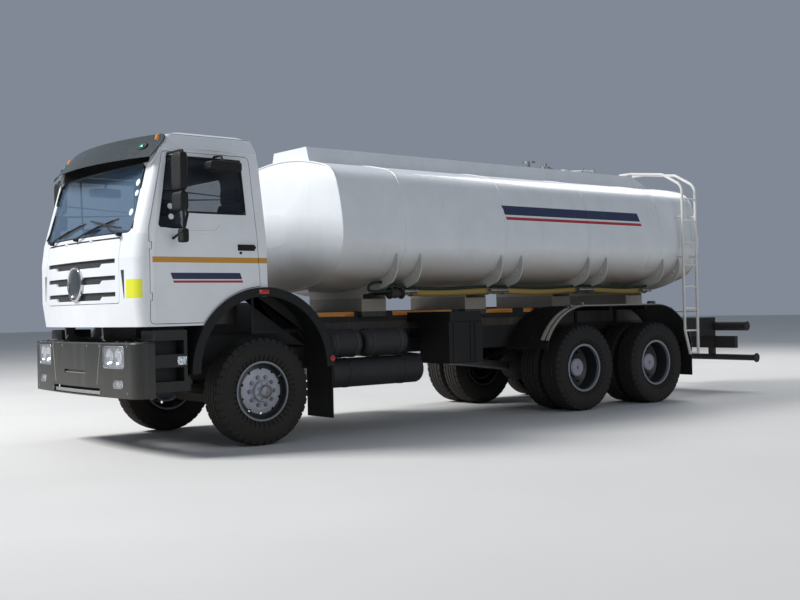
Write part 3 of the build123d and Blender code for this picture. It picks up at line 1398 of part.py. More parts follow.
# Side pipe: a stowed pipe lying through the saddles' plates on the left
def make_pipe(radius):
    """A round bar of this radius along the pipe's sagging route."""
    with BuildPart() as pipe:
        with BuildLine() as pipe_route:
            stops = [(saddle_xs[0] - saddle_width / 2 + 40, pipe_z)]
            for front_x, rear_x in zip(saddle_xs, saddle_xs[1:]):
                stops += [((front_x + rear_x) / 2, pipe_z - pipe_sag), (rear_x, pipe_z)]
            stops[-1] = (saddle_xs[-1] + saddle_width / 2 - 40, pipe_z)
            Spline(*[(x, pipe_y, z) for x, z in stops])
        with BuildSketch(Plane(origin=pipe_route.line @ 0, z_dir=pipe_route.line % 0)):
            Circle(radius)
        sweep()
    return pipe


# Tank subframe: two long bearers on the rails and four saddles whose plates wrap the tank's flanks
with BuildPart() as tank_subframe:
    for side in (1, -1):
        with Locations(((tank_front_x + tank_rear_x) / 2, side * (rail_side_y - subframe_width / 2),
                        frame_top_z + subframe_height / 2)):
            Box(tank_front_x - tank_rear_x + 260, subframe_width, subframe_height)
    for middle_x in saddle_xs:
        for plate_x in (middle_x - saddle_width / 2, middle_x + saddle_width / 2 - saddle_plate):
            with BuildSketch(Plane.YZ.offset(plate_x)):
                with BuildLine():
                    tip = Line((saddle_tip_y - 62, saddle_tip_z + 60), (saddle_tip_y, saddle_tip_z))
                    edge = ThreePointArc(tip @ 1, (saddle_tip_y - 4, saddle_tip_z - 170),
                                         (saddle_tip_y - 87, saddle_tip_z - 300))
                    foot = ThreePointArc(edge @ 1, (saddle_foot_y + 330, saddle_foot_z + 48),
                                         (saddle_foot_y, saddle_foot_z))
                    Polyline(foot @ 1, (saddle_foot_y, subframe_top_z), (0, subframe_top_z),
                             (0, tank_widest_z), (saddle_tip_y - 62, tank_widest_z), tip @ 0)
                make_face()
                with Locations(*saddle_hole_places):
                    Circle(saddle_hole_radius, mode=Mode.SUBTRACT)
                mirror(about=Plane.YZ)
            extrude(amount=saddle_plate)
        with Locations((middle_x, 0, subframe_top_z + saddle_box_height / 2)):
            Box(saddle_width, 2 * saddle_foot_y, saddle_box_height)
    add(tank_clear.part, mode=Mode.SUBTRACT)
    add(make_pipe(pipe_radius + rest_gap).part, mode=Mode.SUBTRACT)
nodes["tank_subframe"] = tank_subframe

# Ladder on the left flank: two tubes over the shoulder to the coaming, with rungs between
def make_stringer(x, points):
    """One stringer tube along a filleted route at this station."""
    with BuildPart() as stringer:
        with BuildLine() as route:
            FilletPolyline(*[(x + shift, y, z) for shift, y, z in points], radius=stringer_bend)
        with BuildSketch(Plane(origin=route.line @ 0, z_dir=route.line % 0)):
            Circle(stringer_radius)
        sweep()
    return stringer.part


ladder_rear_x = ahead(ladder_front) - ladder_width
ladder_head_z = coaming_top_z + stringer_radius + rest_gap
with BuildPart() as ladder:
    over_top = [(0, ladder_y, ladder_shoulder_z), (0, ladder_crown_y, ladder_crown_z),
                (0, coaming_half + 90, ladder_head_z), (0, coaming_half - 120, ladder_head_z)]
    add(make_stringer(ladder_rear_x, [(0, ladder_y, ladder_low_z)] + over_top))
    add(make_stringer(ahead(ladder_front), [(-ladder_foot_shift, ladder_y, ladder_low_z),
                                            (0, ladder_y, ladder_low_z + 330)] + over_top))
    for count in range(ladder_rungs):
        rung_z = ladder_low_z + 20 + count * rung_pitch
        front_x = ahead(ladder_front) - (ladder_foot_shift if count == 0 else 0)
        with Locations(Location(((front_x + ladder_rear_x) / 2, ladder_y, rung_z), (0, 90, 0))):
            Cylinder(rung_radius, front_x - ladder_rear_x)
    for z in ladder_stay_zs:
        for x in (ladder_rear_x, ahead(ladder_front)):
            with Locations(Location((x, ladder_y / 2, z), (90, 0, 0))):
                Cylinder(rung_radius, ladder_y)
    for x in (ladder_rear_x, ahead(ladder_front)):
        with Locations(Location((x, (rail_side_y + ladder_y) / 2, ladder_foot_stay_z), (90, 0, 0))):
            Cylinder(rung_radius, ladder_y - rail_side_y)
    add(tank_clear.part, mode=Mode.SUBTRACT)
nodes["ladder"] = ladder

# Rear carrier: posts down from the frame's end with the top tube and the underrun bar
with BuildPart() as rear_carrier:
    for side in (1, -1):
        carrier_z = (carrier_low_z + frame_top_z) / 2
        with Locations((frame_rear_x - carrier_post / 2, side * carrier_post_y, carrier_z)):
            Box(carrier_post, carrier_post, frame_top_z - carrier_low_z)
    with Locations(Location((frame_rear_x - carrier_tube_back, 0, top_tube_z), (90, 0, 0))):
        Cylinder(top_tube_radius, 2 * top_tube_half)
    with Locations((frame_rear_x - carrier_tube_back, 0, underrun_z)):
        Box(carrier_post, 2 * underrun_half, underrun_height)
nodes["rear_carrier"] = rear_carrier

# Spray bar: the cross pipe with flanged ends and nozzle stubs, under the carrier's posts
with BuildPart() as spray_bar:
    spray_x = frame_rear_x - carrier_tube_back
    spray_z = carrier_low_z - spray_radius - rest_gap
    with Locations(Location((spray_x, 0, spray_z), (90, 0, 0))):
        Cylinder(spray_radius, 2 * spray_half)
    for side in (1, -1):
        with Locations(Location((spray_x, side * (spray_half - flange_wall / 2), spray_z), (90, 0, 0))):
            Cylinder(flange_radius, flange_wall)
            with PolarLocations(flange_hole_circle, 4, start_angle=45):
                Cylinder(flange_hole_radius, flange_wall, mode=Mode.SUBTRACT)
    for y in spray_nozzle_ys:
        with Locations(Location((spray_x - spray_radius, y, spray_z), (0, 90, 0)),
                       Location((spray_x - spray_radius, -y, spray_z), (0, 90, 0))):
            Cylinder(nozzle_radius, 2 * nozzle_reach)
nodes["spray_bar"] = spray_bar

nodes["side_pipe"] = make_pipe(pipe_radius)

os.makedirs("parts", exist_ok=True)
for name, piece in nodes.items():
    piece.part.label = name
    export_step(piece.part, f"parts/{name}.step")
print(len(nodes), "pieces written")
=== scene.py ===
# %% [markdown]
# # A water tanker truck
# The rigid pieces arrive at real size in the imported model. This lesson gives them their finishes and adds
# what is modelled here: tyre tread, wheel nuts, lamps, seals, wipers, clamps, hoses and weld seams.
# Lengths are in metres. X runs forward, Y towards the truck's left side and Z up.

import json
from math import atan2, cos, degrees, pi, radians, sin

import bpy
from mathutils import Matrix, Vector


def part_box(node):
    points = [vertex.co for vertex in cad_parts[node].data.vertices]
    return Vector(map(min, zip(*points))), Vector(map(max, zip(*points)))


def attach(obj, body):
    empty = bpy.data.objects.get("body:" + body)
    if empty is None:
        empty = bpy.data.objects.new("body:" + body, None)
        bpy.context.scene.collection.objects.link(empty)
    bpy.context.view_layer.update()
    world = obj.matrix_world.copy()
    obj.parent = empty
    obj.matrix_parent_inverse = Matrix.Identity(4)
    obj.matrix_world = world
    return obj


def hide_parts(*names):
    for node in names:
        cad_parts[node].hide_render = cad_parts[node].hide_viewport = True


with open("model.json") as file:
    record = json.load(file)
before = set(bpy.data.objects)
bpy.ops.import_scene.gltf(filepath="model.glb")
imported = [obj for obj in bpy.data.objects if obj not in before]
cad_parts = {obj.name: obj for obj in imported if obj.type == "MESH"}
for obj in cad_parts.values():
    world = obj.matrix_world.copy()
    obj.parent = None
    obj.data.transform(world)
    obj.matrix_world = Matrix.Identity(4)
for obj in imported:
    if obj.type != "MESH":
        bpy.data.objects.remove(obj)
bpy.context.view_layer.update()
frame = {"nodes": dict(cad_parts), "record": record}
nodes = frame["nodes"]
print("loaded", len(nodes), "pieces")

# %% [markdown]
# Stations are easiest to read as steps ahead of the front axle, as on a truck maker's side drawing, so a
# small function turns such a step into a place. The other stations follow from the wheelbase.

# %% Stations
front_axle_x = 3.565
wheelbase = 4.650
bogie_spacing = 1.430
rear_axle_xs = (front_axle_x - wheelbase, front_axle_x - wheelbase - bogie_spacing)
tyre_radius = 0.535
both_sides = (("left", 1), ("right", -1))
doors = ("door_left", "door_right")
finishes = {}


def ahead(step):
    """The X of a station this far ahead of the front axle."""
    return front_axle_x + step


# %% [markdown]
# An operator in Blender acts on whatever is selected. So each piece starts by clearing the selection, and
# each helper below makes one piece the only one selected before it shapes it.

# %% Hands: select, settle and shape
def clear_selection():
    """Leave edit mode and select nothing."""
    if bpy.context.object and bpy.context.object.mode != "OBJECT":
        bpy.ops.object.mode_set(mode="OBJECT")
    bpy.ops.object.select_all(action="DESELECT")


def take(piece):
    """Make this piece the only selected one, and the active one."""
    clear_selection()
    piece.select_set(True)
    bpy.context.view_layer.objects.active = piece
    return piece


def settle(name):
    """Name the active piece and move its place, turn and size into its mesh."""
    piece = bpy.context.object
    take(piece)
    piece.name = name
    piece.data.name = name
    bpy.ops.object.transform_apply(location=True, rotation=True, scale=True)
    return piece


def block(name, low, high):
    """A box between two corners."""
    clear_selection()
    low, high = Vector(low), Vector(high)
    bpy.ops.mesh.primitive_cube_add(size=1, location=(low + high) / 2, scale=high - low)
    return settle(name)


def rod(name, start, end, radius, sides=20, end_radius=None):
    """A round bar, or a cone, from one point to another."""
    clear_selection()
    start, end = Vector(start), Vector(end)
    turn = (end - start).to_track_quat("Z", "Y").to_euler()
    bpy.ops.mesh.primitive_cone_add(vertices=sides, radius1=radius,
                                    radius2=radius if end_radius is None else end_radius,
                                    depth=(end - start).length, location=(start + end) / 2, rotation=turn)
    return settle(name)


def harden(piece, angle=30):
    """Smooth shading that keeps edges sharper than this angle crisp."""
    take(piece)
    bpy.ops.object.shade_smooth_by_angle(angle=radians(angle))
    return piece


def modify(piece, kind, **settings):
    """Add a modifier with these settings and apply it."""
    take(piece)
    change = piece.modifiers.new(kind.title(), kind)
    for key, value in settings.items():
        setattr(change, key, value)
    bpy.ops.object.modifier_apply(modifier=change.name)
    return piece


def soften(piece, width, segments=2):
    """Round every edge sharper than 35 degrees."""
    modify(piece, "BEVEL", width=width, segments=segments, limit_method="ANGLE", angle_limit=radians(35))
    return harden(piece, 40)


def edit(piece, action="DESELECT"):
    """Open a piece in edit mode with nothing selected, or with all of it."""
    take(piece)
    bpy.ops.object.mode_set(mode="EDIT")
    bpy.ops.mesh.select_mode(type="FACE")
    bpy.ops.mesh.select_all(action=action)


def pick(piece, test):
    """Select the faces whose middle and normal pass a test, in edit mode."""
    bpy.ops.object.mode_set(mode="OBJECT")
    for face in piece.data.polygons:
        face.select = test(face.center, face.normal)
    bpy.ops.object.mode_set(mode="EDIT")


def turned(name, centre, axis, profile, steps=48):
    """A turned piece: points (distance along the axis, radius) spun about an axis through centre."""
    clear_selection()
    axis = Vector(axis).normalized()
    side = axis.orthogonal().normalized()
    places = [Vector(centre) + axis * along + side * radius for along, radius in profile]
    bpy.ops.mesh.primitive_plane_add(size=0.01, location=places[0])
    piece = bpy.context.object
    bpy.ops.object.transform_apply(location=True, rotation=True, scale=True)
    bpy.ops.object.mode_set(mode="EDIT")
    bpy.ops.mesh.select_mode(type="VERT")
    bpy.ops.mesh.merge(type="CENTER")
    for last, place in zip(places, places[1:]):
        bpy.ops.mesh.extrude_region_move(TRANSFORM_OT_translate={"value": place - last})
    bpy.ops.mesh.select_all(action="SELECT")
    bpy.ops.mesh.spin(steps=steps, angle=2 * pi, center=centre, axis=axis)
    bpy.ops.mesh.select_all(action="SELECT")
    bpy.ops.mesh.remove_doubles(threshold=0.00002)
    bpy.ops.mesh.normals_make_consistent(inside=False)
    bpy.ops.object.mode_set(mode="OBJECT")
    settle(name)
    return harden(piece)


def tube(name, points, radius, sides=3, smooth=True):
    """A bent pipe along points, made from a curve with a round bevel."""
    route = bpy.data.curves.new(name, "CURVE")
    route.dimensions = "3D"
    route.bevel_depth = radius
    route.bevel_resolution = sides
    route.resolution_u = 6
    route.use_fill_caps = True
    line = route.splines.new("NURBS" if smooth else "POLY")
    line.points.add(len(points) - 1)
    for knot, place in zip(line.points, points):
        knot.co = (*place, 1)
    if smooth:
        line.order_u = 3
        line.use_endpoint_u = True
    piece = bpy.data.objects.new(name, route)
    bpy.context.scene.collection.objects.link(piece)
    take(piece)
    bpy.ops.object.convert(target="MESH")
    return harden(bpy.context.object, 50)


def join(name, pieces):
    """Join several pieces into one."""
    take(pieces[0])
    for piece in pieces[1:]:
        piece.select_set(True)
    bpy.ops.object.join()
    whole = bpy.context.object
    whole.name = name
    whole.data.name = name
    return whole


def copy_of(piece, name, step=(0, 0, 0)):
    """A copy with its own mesh, moved by a step."""
    twin = piece.copy()
    twin.data = piece.data.copy()
    twin.data.transform(Matrix.Translation(step))
    twin.name = name
    twin.data.name = name
    bpy.context.scene.collection.objects.link(twin)
    return twin


def to_right(piece, name):
    """A copy mirrored to the truck's right side, its faces turned outwards again."""
    twin = copy_of(piece, name)
    twin.data.transform(Matrix.Scale(-1, 4, (0, 1, 0)))
    edit(twin, "SELECT")
    bpy.ops.mesh.flip_normals()
    bpy.ops.object.mode_set(mode="OBJECT")
    return twin


def fit(piece, finish, body="chassis"):
    """Give a new piece its finish, and let it ride on its body."""
    piece.data.materials.clear()
    piece.data.materials.append(finishes[finish])
    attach(piece, body)
    return piece


def fit_both(piece, right_name, finish, bodies=("chassis", "chassis")):
    """Fit a piece of the left side, and its mirrored copy on the right side."""
    twin = to_right(piece, right_name)
    fit(piece, finish, bodies[0])
    fit(twin, finish, bodies[1])


# %% [markdown]
# # Finishes
# A finish is a small graph of shader nodes. Written as sums it would be hard to read as clicks and wires, so
# one class wraps a socket and lets Python's own signs add the Math nodes, and another makes every other node.

# %% Sockets that add, subtract and multiply
class Wire:
    """An output socket that sums can be written with."""

    def __init__(self, graph, socket):
        self.graph = graph
        self.socket = socket

    def sum(self, operation, first, second=None, third=None, clamp=False):
        values = {index: value for index, value in enumerate((first, second, third)) if value is not None}
        return self.graph.node("ShaderNodeMath", {"operation": operation, "use_clamp": clamp}, values)

    def __add__(self, other):
        return self.sum("ADD", self, other)

    def __radd__(self, other):
        return self.sum("ADD", other, self)

    def __sub__(self, other):
        return self.sum("SUBTRACT", self, other)

    def __rsub__(self, other):
        return self.sum("SUBTRACT", other, self)

    def __mul__(self, other):
        return self.sum("MULTIPLY", self, other)

    def __gt__(self, other):
        return self.sum("GREATER_THAN", self, other)

    def __lt__(self, other):
        return self.sum("LESS_THAN", self, other)

    def limit(self):
        """The same value, held between 0 and 1."""
        return self.sum("ADD", self, 0.0, clamp=True)

    def ramp(self, low, high):
        """0 below low, 1 above high, straight between."""
        return self.sum("MULTIPLY_ADD", self, 1 / (high - low), -low / (high - low), clamp=True)

    def within(self, low, high):
        """1 between two values, 0 outside."""
        return (self > low) * (self < high)

    def parts(self):
        """X, Y and Z of a vector."""
        made = self.graph.node("ShaderNodeSeparateXYZ", {}, {0: self}).socket.node
        return [Wire(self.graph, made.outputs[index]) for index in range(3)]


class Graph:
    """One material and the nodes behind its shader."""

    def __init__(self, name, **uniform):
        self.material = bpy.data.materials.new(name)
        self.material.use_nodes = True
        self.tree = self.material.node_tree
        self.shader = self.tree.nodes["Principled BSDF"]
        self.place = self.node("ShaderNodeTexCoord", {}, {}, output="Object")
        for key, value in uniform.items():
            self.entry(key).default_value = value

    def entry(self, key):
        """The shader's socket that a keyword names."""
        return self.shader.inputs[key.replace("_", " ").title().replace("Ior", "IOR")]

    def node(self, kind, settings, values, output=0):
        """Any node: its settings first, then its sockets' values or wires."""
        made = self.tree.nodes.new(kind)
        for key, value in settings.items():
            setattr(made, key, value)
        for key, value in values.items():
            if isinstance(value, Wire):
                self.tree.links.new(value.socket, made.inputs[key])
            else:
                made.inputs[key].default_value = value
        return Wire(self, made.outputs[output])

    def noise(self, scale, stretch=(1, 1, 1), detail=4, roughness=0.55):
        """Soft noise over the object, from 0 to 1; stretch squeezes it along each axis."""
        spread = self.node("ShaderNodeMapping", {}, {"Vector": self.place, "Scale": stretch})
        return self.node("ShaderNodeTexNoise", {}, {"Vector": spread, "Scale": scale, "Detail": detail,
                                                   "Roughness": roughness})

    def blend(self, share, first, second):
        """A colour between two, by share."""
        inputs = {"Factor": share, 6: first if isinstance(first, Wire) else (*first, 1),
                  7: second if isinstance(second, Wire) else (*second, 1)}
        return self.node("ShaderNodeMix", {"data_type": "RGBA"}, inputs, output=2)

    def feed(self, **wires):
        """Lead wires to the shader's sockets."""
        for key, wire in wires.items():
            self.tree.links.new(wire.socket, self.entry(key))

    def relief(self, height, distance, strength=1.0):
        """Lead a height to the surface's normal, as bump of this depth."""
        self.feed(normal=self.node("ShaderNodeBump", {}, {"Height": height, "Distance": distance,
                                                         "Strength": strength}))


# %% [markdown]
# A truck's paint is never one flat colour. Rain draws dust down in streaks, road dust settles on the lower
# parts, and a large panel is slightly wavy. The same recipe serves the cab, tank, frame and brackets, with
# other numbers. Bands are painted by comparing the surface's own place with two heights and two ends.

# %% Paint and dust
dust_brown = (0.30, 0.235, 0.165)
dark_soil = (0.085, 0.068, 0.050)
navy = (0.012, 0.022, 0.075)
signal_red = (0.42, 0.018, 0.022)
amber = (0.56, 0.27, 0.02)


def weather(graph, colour, dust_top, dust_most, streaks, soil=dust_brown):
    """Colour with streaks run down from above and dust that thins out up to dust_top."""
    x, y, z = graph.place.parts()
    patches = graph.noise(1.7, detail=5)
    runs = graph.noise(9.0, (1, 1, 0.07), detail=3)
    grime = (runs.ramp(0.52, 0.78) * patches.ramp(0.3, 0.7) * streaks).limit()
    dirty = graph.blend(grime, colour, soil)
    settled = (1.0 - z.ramp(0.15, dust_top)) * patches.ramp(0.15, 0.85) * dust_most
    return graph.blend(settled.limit(), dirty, soil), settled.limit()


def paint(name, colour, roughness=0.32, coat=0.35, dust_top=1.5, dust_most=0.5, streaks=0.10, wave=0.0006,
          bands=None, soil=dust_brown):
    """Painted metal; bands is a function that lays stripes, and on some finishes painted shade, over the
    clean colour.
    """
    graph = Graph(name, coat_weight=coat, coat_roughness=0.12)
    clean = graph.blend(graph.noise(3.1).ramp(0.3, 0.7), colour, [value * 0.93 for value in colour])
    if bands:
        clean = bands(graph, clean)
    worn, dust = weather(graph, clean, dust_top, dust_most, streaks, soil)
    graph.feed(base_color=worn, roughness=roughness + dust * 0.45 + graph.noise(14.0) * 0.10)
    graph.relief(graph.noise(2.3, detail=2) + graph.noise(160.0, detail=2) * 0.02, wave)
    return graph.material


def plastic(name, colour, roughness=0.55, grain=420.0, dust_top=1.3, dust_most=0.25, soil=dark_soil):
    """Moulded plastic or rubber with a fine grain, browned by dust low down."""
    graph = Graph(name, specular_ior_level=0.3)
    worn, dust = weather(graph, graph.blend(graph.noise(5.0), colour, [value * 1.5 for value in colour]),
                         dust_top, dust_most, 0.10, soil)
    graph.feed(base_color=worn, roughness=roughness + dust * 0.3 + graph.noise(20.0) * 0.12)
    graph.relief(graph.noise(grain, detail=2), 0.0004)
    return graph.material


def metal(name, colour, roughness=0.35, metallic=1.0, dust_top=1.2, dust_most=0.5, brushed=(1, 1, 1),
          depth=0.0003, soil=dark_soil):
    """Bare or plated metal with fine brushing, stained by dust."""
    graph = Graph(name)
    worn, dust = weather(graph, graph.blend(graph.noise(7.0), colour, [value * 0.75 for value in colour]),
                         dust_top, dust_most, 0.15, soil)
    scratch = graph.noise(240.0, brushed, detail=3)
    graph.feed(base_color=worn, metallic=(1.0 - dust * 0.9) * metallic,
               roughness=roughness + dust * 0.4 + scratch * 0.12)
    graph.relief(scratch, depth)
    return graph.material


# %% [markdown]
# Window glass is dark from outside because the cab is dark behind it. A low alpha lets the seats show, and
# the smooth surface keeps the sky's reflection. A thin film of dust dulls it in patches.

# %% Glass
def glass(name, colour, alpha, roughness=0.03, dust=0.12):
    """Clear or tinted glass."""
    graph = Graph(name, ior=1.5, coat_weight=0.6, coat_roughness=0.02)
    film = graph.noise(2.4, detail=5).ramp(0.45, 0.9) * dust
    graph.feed(base_color=graph.blend(film, colour, dust_brown), roughness=film * 2.0 + roughness,
               alpha=film + alpha)
    return graph.material


# %% [markdown]
# The cab carries one amber band below the handle and a plain navy and red pair lower on the door. The tank
# has a long navy and red pair on its flank. Each band is a mask: 1 where the surface lies between two
# heights and two ends. A slanted end compares X with a little of Z.

# %% Bands on the cab and the tank
cab_inside = (0.030, 0.034, 0.042)
painted_shade_black = (0.007, 0.007, 0.008)


def inside_cab(x, y, z):
    """1 on the inner half of the cab's walls and roof, by planes that stand in the middle of each wall."""
    across = y.sum("ABSOLUTE", y)
    rise = (z - 2.05).sum("MAXIMUM", z - 2.05, 0.0)
    leaned = x + rise * 0.309
    bowed = across * across * 0.055
    walls = (across + rise * 0.078 < 1.198) * (across + z * 0.37 < 2.1815) * z.within(1.30, 3.025)
    nose = (leaned + bowed < 4.945) * (x + bowed + z * 0.86 < 7.178)
    pillars = ((across < 1.02) + (leaned < 4.79)).limit()
    return walls * nose * pillars * (x - rise * 0.07 > 3.571)


def shadowed_cab(x, y, z):
    """1 where shade is painted: in the wheel housing, under the floor, behind the grille and on the band over
    the windscreen.
    """
    housing = (y * y < 1.14 ** 2) * (z < 1.62) * (x < ahead(1.00))
    grille = (y * y < 0.84 ** 2) * z.within(1.45, 1.88) * (x > ahead(1.20)) * (x + y * y * 0.055 < 4.975)
    header = (y * y < 1.03 ** 2) * z.within(2.738, 2.93) * (x > ahead(1.00))
    return (housing + (z < 1.204) + grille + header).limit()


def cab_bands(graph, clean):
    """The cab's amber, navy and red bands, the yellow corner, the dark inside, and painted shade in the
    housing, under the floor, behind the grille and over the windscreen.
    """
    x, y, z = graph.place.parts()
    flank = y * y > 1.13 ** 2
    behind_corner = x < ahead(1.215)
    banded = graph.blend(z.within(1.795, 1.848) * flank * behind_corner, clean, amber)
    slant = x - z * 0.35
    ends = slant.within(ahead(0.28) - 0.58, ahead(1.02) - 0.58)
    banded = graph.blend(z.within(1.640, 1.700) * flank * ends, banded, navy)
    banded = graph.blend(z.within(1.606, 1.628) * flank * ends, banded, signal_red)
    corner = (y > 0.985) * z.within(1.470, 1.645) * (x > ahead(1.300))
    banded = graph.blend(corner, banded, (0.74, 0.76, 0.03))
    banded = graph.blend(inside_cab(x, y, z), banded, cab_inside)
    # Painted shade: near black where the cab lies in shade, in the housing, under the floor, behind the
    # grille and over the windscreen.
    return graph.blend(shadowed_cab(x, y, z), banded, painted_shade_black)


def tank_bands(graph, clean):
    """Grime low on the tank, and the navy and red pair on its flank."""
    x, y, z = graph.place.parts()
    flank = y * y > 0.9 ** 2
    slant = x - z * 0.30
    ends = slant.within(ahead(-5.85) - 0.72, ahead(-3.35) - 0.72)
    mottled = graph.noise(2.6, (0.35, 1, 1), detail=5).ramp(0.25, 0.75) * 0.10 + z
    grimy = graph.blend((1.0 - mottled.ramp(1.70, 2.06)) * 0.80, clean, dust_brown)
    banded = graph.blend(z.within(2.405, 2.515) * flank * ends, grimy, navy)
    return graph.blend(z.within(2.345, 2.380) * flank * ends, banded, signal_red)


hub_radius = 0.128
disc_radius = 0.225
dish_radius = 0.280
deep_shade = (0.020, 0.023, 0.028)


def wheel_tones_and_painted_shade(graph, clean):
    """Painted shade inside the twin wheels' deep dishes, apart from the hub's face, and round the steered
    discs.
    """
    x, y, z = graph.place.parts()
    height = z - tyre_radius
    on_hub = 0.0
    for axle_x in rear_axle_xs:
        off_axle = x - axle_x
        on_hub = (off_axle * off_axle + height * height < hub_radius ** 2) * (y * y > 1.05 ** 2) + on_hub
    deep = (x < 1.0) * (y * y < 1.168 ** 2) * (1.0 - on_hub)
    toned = graph.blend(on_hub, clean, (0.36, 0.35, 0.42))
    off_front = x - front_axle_x
    reach = off_front * off_front + height * height
    steered = x > 1.0
    toned = graph.blend(steered * (reach < disc_radius ** 2) * 0.7, toned, (0.50, 0.52, 0.60))
    toned = graph.blend(steered * reach.within(disc_radius ** 2, dish_radius ** 2), toned, deep_shade)
    # Painted shade: the deep dishes are made dark.
    return graph.blend(deep, toned, deep_shade)


near_iron = (0.016, 0.017, 0.019)


def bearer_bands(graph, clean):
    """Brown stains, pale wings above and a dark rail below."""
    x, y, z = graph.place.parts()
    stained = graph.blend(graph.noise(6.0, detail=5).ramp(0.35, 0.80) * 0.45, clean, dust_brown)
    pale = graph.blend((z > 1.450) * 0.6, stained, (0.66, 0.66, 0.64))
    return graph.blend(z < 1.300, pale, near_iron)


# %% [markdown]
# Rubber on a working truck is grey-brown where it meets the road, so the dust in its finish grows towards
# the ground. Each node of the frame then gets the finish that its slot in the record names.

# %% Every finish
finishes.update({
    "cab_white": paint("cab_white", (0.80, 0.82, 0.845), 0.26, 0.5, 1.65, 0.28, 0.05, bands=cab_bands),
    "tank_white": paint("tank_white", (0.74, 0.765, 0.79), 0.34, 0.25, 1.9, 0.35, 0.14, 0.0015,
                        bands=tank_bands),
    "bumper_grey": paint("bumper_grey", (0.0155, 0.0170, 0.0155), 0.42, 0.15, 1.05, 0.20, 0.10),
    "frame_grey": paint("frame_grey", (0.012, 0.013, 0.015), 0.55, 0.0, 1.3, 0.45, 0.15, soil=dark_soil),
    "bracket_grey": paint("bracket_grey", (0.36, 0.34, 0.30), 0.45, 0.1, 1.9, 0.60, 0.3, bands=bearer_bands),
    "ladder_white": paint("ladder_white", (0.72, 0.71, 0.67), 0.4, 0.2, 1.6, 0.25, 0.15),
    "pipe_ochre": paint("pipe_ochre", (0.30, 0.20, 0.045), 0.45, 0.1, 1.6, 0.35, 0.25),
    "wheel_silver": paint("wheel_silver", (0.24, 0.265, 0.305), 0.38, 0.2, 0.9, 0.40, 0.25, soil=dark_soil,
                          bands=wheel_tones_and_painted_shade),
    "black_plastic": plastic("black_plastic", (0.0060, 0.0064, 0.0070)),
    "visor_smoke": plastic("visor_smoke", (0.028, 0.034, 0.036), 0.20, 60.0, 0.9, 0.0),
    "rubber": plastic("rubber", (0.0125, 0.0125, 0.0125), 0.70, 260.0, 1.25, 0.42),
    "seat_fabric": plastic("seat_fabric", (0.05, 0.055, 0.075), 0.85, 900.0, 1.0, 0.0),
    "steel": metal("steel", (0.36, 0.36, 0.37)),
    "iron": metal("iron", (0.05, 0.048, 0.046), 0.65, 0.3, 1.3, 0.7, depth=0.0008),
    "aluminium": metal("aluminium", (0.55, 0.56, 0.57), 0.3, brushed=(0.05, 1, 1)),
    "chrome": metal("chrome", (0.72, 0.72, 0.73), 0.08, 1.0, 0.3, 0.0, depth=0.0),
    "window_glass": glass("window_glass", (0.030, 0.042, 0.058), 0.16, dust=0.04),
    "lamp_clear": glass("lamp_clear", (0.62, 0.66, 0.70), 0.30, 0.05),
})
for node in frame["record"]["subparts"]:
    piece = nodes[node["node"]]
    piece.data.materials.clear()
    piece.data.materials.append(finishes[node["material_slot"]])
finishes["silencer_soot"] = metal("silencer_soot", (0.045, 0.046, 0.050), 0.5, 0.7, 1.0, 0.5)
# The windscreen's glass is tinted sky blue, a painted reflection of the sky.
finishes["screen_glass_painted_sky"] = glass("screen_glass_painted_sky", (0.115, 0.200, 0.310), 0.36, dust=0.05)
# Near-black steps; the same finish is the painted shade of the dark walls in the wheel housings.
finishes["step_black_and_painted_shade"] = paint("step_black_and_painted_shade", (0.0085, 0.009, 0.010), 0.55, 0.0, 1.0, 0.18, 0.08,
                               soil=dark_soil)
# A pale finish: dust on the bumper joints, and dust with a painted highlight on the guards' rolled edges.
finishes["pale_dust_and_highlight"] = paint("pale_dust_and_highlight", (0.40, 0.385, 0.33), 0.6, 0.0, 1.0, 0.3, 0.25)
for node, finish in (("silencer", "silencer_soot"), ("windscreen", "screen_glass_painted_sky"),
                     ("cab_steps", "step_black_and_painted_shade")):
    nodes[node].data.materials[0] = finishes[finish]
print("finished", len(nodes), "pieces in", len(finishes), "finishes")


# %% [markdown]
# # Tyres
# A truck tyre is a turned shape with a pattern cut across it. Its outline, from bead to bead, is drawn as
# points of distance along the axle and radius, and spun about the hub. Four grooves run round the tread as
# part of that outline. The cross cuts at the shoulders are faces picked by their angle and pushed inwards.

# %% One tyre, turned and cut
tyre_steps = 160
half_outline = (
    (0.014, 0.5345), (0.016, 0.523), (0.027, 0.523), (0.029, 0.5345), (0.068, 0.5335), (0.07, 0.5215),
    (0.081, 0.521), (0.083, 0.5325), (0.094, 0.532), (0.118, 0.53), (0.1275, 0.5245), (0.134, 0.512),
    (0.14, 0.49), (0.144, 0.466), (0.148, 0.464), (0.1495, 0.456), (0.1475, 0.452), (0.1495, 0.425),
    (0.1485, 0.39), (0.143, 0.36), (0.135, 0.336), (0.137, 0.332), (0.133, 0.324), (0.124, 0.311),
    (0.113, 0.303), (0.1035, 0.2995), (0.1022, 0.2826),
)
tyre_outline = [(-along, radius) for along, radius in reversed(half_outline)] + list(half_outline)


def cross_cuts(tyre, centre):
    """Push every fourth slice of both shoulders in, as the cuts between the tread blocks."""
    def in_cut(middle, normal):
        along = abs(middle.y - centre[1])
        around = atan2(middle.z - centre[2], middle.x - centre[0]) / (2 * pi) * tyre_steps
        shift = 0 if middle.y > centre[1] else 2
        return 0.0945 < along < 0.1400 and (int(around + tyre_steps) + shift) % 4 == 0

    edit(tyre)
    pick(tyre, in_cut)
    bpy.ops.mesh.extrude_region_shrink_fatten(TRANSFORM_OT_shrink_fatten={"value": -0.011})
    bpy.ops.object.mode_set(mode="OBJECT")
    return harden(tyre, 28)


